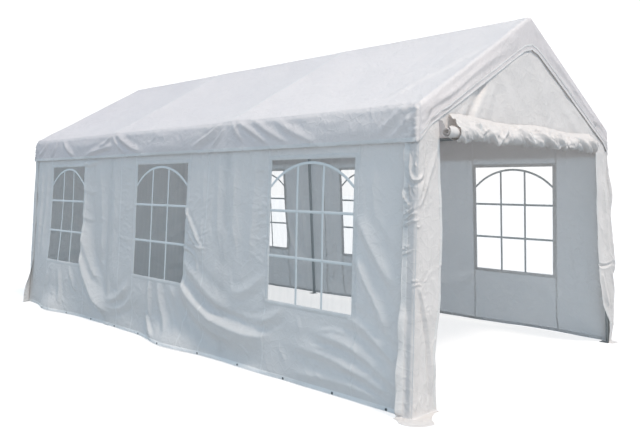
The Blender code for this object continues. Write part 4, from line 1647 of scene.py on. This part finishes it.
def gable_shapes():
    return [
        # a deep valley up from the roll, with its lower side in the light
        fold([(-0.90, 1.88), (-0.82, 1.99), (-0.74, 2.10), (-0.64, 2.24)],
             0.045, -0.034, lean=0.5, crisp=0.5, trough=0.15, fade=0.12),
        fold([(-1.10, 1.90), (-0.98, 2.00), (-0.86, 2.10)], 0.030, -0.010, crisp=0.5, trough=0.2),
        fold([(-0.66, 1.93), (-0.62, 2.08), (-0.56, 2.22)], 0.040, 0.010, crisp=0.4),
        fold([(-0.20, 1.92), (-0.36, 2.15), (-0.54, 2.38)], 0.060, 0.010, crisp=0.5),
        fold([(0.30, 1.92), (0.20, 2.15), (0.05, 2.48)], 0.070, 0.008, crisp=0.5),
        fold([(0.85, 1.90), (0.70, 2.02), (0.45, 2.18)], 0.050, 0.009, crisp=0.5),
        *creases(81, 40, (-1.10, 1.85), (1.10, 2.45), 0.9, 1.0, 0.25, 0.020, 0.0035),
        *creases(82, 30, (-1.10, 1.85), (1.10, 2.02), 1.4, 0.5, 0.12, 0.012, 0.0040),
        waves(83, 0.40, 0.0030, spread=math.pi),
    ]


def make_front_gable():
    panel = Cloth(end_place(-1), gable_shapes(), rafter_behind, under_band)
    half = corner_x(GABLE_SEAM) - 0.045
    columns = np.linspace(-half, half, 150)
    rows = np.linspace(0, 1, 60)
    across, share = np.meshgrid(columns, rows)
    lower = GABLE_SEAM + 0.115 * ease((-across - 1.10) / 0.10)
    up = lower + share * (panel_top(across) - lower)
    gable = sheet_mesh("front_gable_panel", panel, across, up, end_cloth)
    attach(gable, "root")
    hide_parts("front_gable")
    2 * half
    0.62 * 2 * half


make_front_gable()


def back_swing(up):
    """Near the ground the back wall's returns are folded open, away from the leg."""
    return math.radians(82) * (1 - ease(up / 0.60))


def back_wall_shapes():
    return [
        fold([(-1.42, 1.75), (-1.15, 1.30), (-0.72, 0.92), (-0.20, 0.74)],
             0.08, 0.026, lean=0.3, crisp=0.6, fade=0.15),
        fold([(1.42, 1.70), (1.12, 1.20), (0.66, 0.86), (0.20, 0.74)],
             0.08, 0.024, lean=-0.3, crisp=0.6, fade=0.15),
        fold([(-1.20, 1.85), (-0.90, 1.50), (-0.40, 1.24), (0.10, 1.18)], 0.07, 0.018, crisp=0.6),
        fold([(1.25, 1.85), (0.95, 1.55), (0.50, 1.34)], 0.06, 0.014, crisp=0.6),
        fold([(-1.48, 0.30), (-1.05, 0.52), (-0.55, 0.52)], 0.06, 0.022, crisp=0.6),
        fold([(1.48, 0.25), (1.00, 0.44), (0.45, 0.40)], 0.06, 0.022, crisp=0.6),
        fold([(-1.45, 0.10), (-0.95, 0.26), (-0.40, 0.28)], 0.05, 0.016, crisp=0.7),
        fold([(1.45, 0.12), (0.90, 0.22), (0.30, 0.20)], 0.05, 0.016, crisp=0.7),
        fold([(-0.22, 2.45), (-0.26, 1.80), (-0.20, 1.10)], 0.06, 0.012, crisp=0.5),
        fold([(0.42, 2.30), (0.44, 1.70), (0.38, 1.05)], 0.06, 0.012, crisp=0.5),
        fold([(-0.75, 2.10), (-0.78, 1.70), (-0.74, 1.40)], 0.05, 0.008, crisp=0.5),
        *creases(91, 90, (-1.45, 0.05), (1.45, 1.80), 0.8, 1.4, 0.30, 0.022, 0.0045),
        *creases(92, 50, (-1.45, 0.05), (1.45, 0.40), 0.1, 0.6, 0.30, 0.020, 0.0055),
        *creases(93, 30, (-1.66, 0.10), (-1.48, 1.70), 0.3, 0.8, 0.10, 0.010, 0.0050),
        *creases(94, 30, (1.48, 0.10), (1.66, 1.70), 0.3, 0.8, 0.10, 0.010, 0.0050),
        waves(95, 0.45, 0.0040, spread=math.pi),
    ]


def make_back_wall():
    back = Cloth(end_place(1, back_swing), back_wall_shapes(), leg_behind, back_ceiling)
    columns = np.linspace(-1, 1, 170)
    rows = np.linspace(0, 1, 140)
    column, share = np.meshgrid(columns, rows)
    across = column * (corner_x(0.0) + RETURN_END)
    for _ in range(3):
        top = np.where(from_corner(across, EAVE_Z) < 0.04, EAVE_Z - 0.05, panel_top(across))
        up = share * (top + 0.12) - 0.12
        across = column * (corner_x(np.maximum(up, 0)) + RETURN_END)
    up = np.where(up < 0, up * 0.06 / 0.12, up)
    wall = sheet_mesh("back_wall_cloth", back, across, up, wall_cloth)
    seams = [
        [(place, 0.02), (place, panel_top(place) - 0.03)] for place in (-0.72, 0.74)
    ]
    welds = tape("back_wall_seams", back, seams, 0.030, seam_cloth, above=0.0010)
    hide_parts("back_wall")
    for piece in (wall, welds):
        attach(piece, "root")
    width = 2 * (corner_x(0.0) + RETURN_END)
    0.82 * width * 2.9


def back_ceiling(across, up):
    """Behind the back gable band there is little room."""
    run = from_corner(across, up)
    covered = ease((up - gable_hem_z(across) + 0.05) / 0.05)
    return 0.10 - 0.099 * covered * ease(run / 0.03 + 1)


make_back_wall()


# The rolled door
# The doorway's cloth comes down from the gable panel and is rolled up inwards under
# it, held with three tapes. It is a loose roll of two turns, crumpled all along.

roll_low, roll_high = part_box("rolled_door")
ROLL_LEFT = roll_low.x
ROLL_RIGHT = roll_high.x - 0.14
ROLL_CENTRE_Z = (roll_low.z + roll_high.z) / 2
ROLL_CENTRE_OUT = -(roll_low.y + roll_high.y) / 2 + END_LEAN * ROLL_CENTRE_Z - PANEL_Y
ROLL_RADIUS = 0.054
ROLL_PITCH = 0.016
ROLL_WOUND = 0.54
APRON = 0.13
TIE_PLACES = (-0.88, -0.12, 0.66)


def roll_place(across, up, lift):
    """Down from the gable panel, over the front of the roll, and round into it."""
    along = (across - ROLL_LEFT) / (ROLL_RIGHT - ROLL_LEFT)
    tied = sum(np.exp(-((across - place) / 0.045) ** 2) for place in TIE_PLACES)
    size = (1.0 - 0.16 * along) * (1 - 0.14 * tied)
    size = size * (1 + 0.06 * np.sin(across * 9.0) + 0.05 * np.sin(across * 21.0 + 2.0))
    outer = ROLL_RADIUS * size
    middle_out = ROLL_CENTRE_OUT - 0.018 - 0.012 * along
    middle_z = ROLL_CENTRE_Z - 0.038 + 0.005 * np.sin(across * 13.0)
    # the cloth leaves the panel here and touches the roll where it is tangent to it
    top_out = 0.003 - middle_out
    seam_z = 1.955 - 0.020 * along + 0.010 * np.sin(across * 6.0 + 1.0)
    top_z = np.minimum(gable_hem_z(across) - 0.004, seam_z) - middle_z
    apart = np.maximum(np.hypot(top_out, top_z), outer * 1.001)
    start = np.arctan2(top_out, top_z) + np.arccos(outer / apart)
    length = np.sqrt(apart ** 2 - outer ** 2)
    shrink = ROLL_PITCH / (2 * math.pi)
    wound = np.clip(up, 0, ROLL_WOUND)
    turned = (ROLL_RADIUS - np.sqrt(ROLL_RADIUS ** 2 - 2 * shrink * wound)) / shrink
    radius = size * (ROLL_RADIUS - shrink * turned) + lift
    angle = start + turned
    above = np.maximum(-up, 0) / APRON * length
    out = middle_out + radius * np.sin(angle) - above * np.cos(start)
    z = middle_z + radius * np.cos(angle) + above * np.sin(start)
    out = np.where(up < 0, soft_most(out, 0.002, 0.008), out)
    return np.stack([across, leaned(-(PANEL_Y + out), z), z], -1)


def roll_shapes():
    low, high = (ROLL_LEFT, -0.08), (ROLL_RIGHT, 0.24)
    return [
        # long crumples that run down and along the roll
        fold([(-0.40, -0.06), (-0.26, 0.02), (-0.06, 0.09)], 0.022, 0.030, crisp=0.7, trough=0.5),
        fold([(-0.10, -0.04), (0.06, 0.03), (0.24, 0.10)], 0.020, 0.028, crisp=0.7, trough=0.5),
        fold([(0.22, -0.02), (0.34, 0.05), (0.46, 0.13)], 0.018, 0.026, crisp=0.7, trough=0.5),
        fold([(0.62, -0.05), (0.74, 0.03), (0.88, 0.12)], 0.018, 0.028, crisp=0.7, trough=0.5),
        fold([(0.84, -0.03), (0.92, 0.04), (1.00, 0.12)], 0.016, 0.022, crisp=0.7, trough=0.5),
        fold([(-0.52, -0.03), (-0.60, 0.04), (-0.68, 0.12)], 0.018, 0.024, crisp=0.7, trough=0.5),
        fold([(-0.78, -0.02), (-0.72, 0.06), (-0.60, 0.12)], 0.018, 0.020, crisp=0.7, trough=0.5),
        *creases(101, 46, low, high, 0.45, 0.35, 0.26, 0.013, 0.0180),
        *creases(106, 26, low, high, 2.4, 0.4, 0.16, 0.012, 0.0150),
        *creases(102, 90, low, high, 1.15, 0.6, 0.12, 0.009, 0.0110),
        *creases(103, 140, low, high, 0.2, 1.6, 0.06, 0.006, 0.0060),
        *creases(105, 30, (ROLL_LEFT, -0.13), (ROLL_RIGHT, 0.0), 1.5, 0.5, 0.12, 0.014, 0.0060),
        waves(104, 0.14, 0.0040, heading=0.3, spread=1.4, sharp=0.5),
    ]


def roll_floor(across, up):
    return np.where(up < 0, -0.003 - 0.007 * ease((up + 0.10) / 0.10), -0.010)


def roll_ceiling(across, up):
    return 0.003 + 0.026 * ease((0.34 - up) / 0.06) * ease((up + APRON) / 0.08)


def make_roll():
    roll_sheet = Cloth(roll_place, roll_shapes(), roll_floor, roll_ceiling)
    rows = spaced([-APRON, 0.32, ROLL_WOUND], [0.0055, 0.014])
    share, up = np.meshgrid(np.linspace(0, 1, 290), rows)
    left = ROLL_LEFT + 0.100 * (1 - ease((up - 0.22) / 0.09)) + 0.020 * ease(-up / 0.13)
    across = left + (ROLL_RIGHT - left) * share
    roll = sheet_mesh("rolled_door_cloth", roll_sheet, across, up, end_cloth)
    loops = [[(place, -0.05), (place, 0.30)] for place in TIE_PLACES]
    ties = tape("door_ties", roll_sheet, loops, 0.020, seam_cloth, above=0.0030, step=0.006)
    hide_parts("rolled_door")
    for piece in (roll, ties):
        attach(piece, "root")


make_roll()
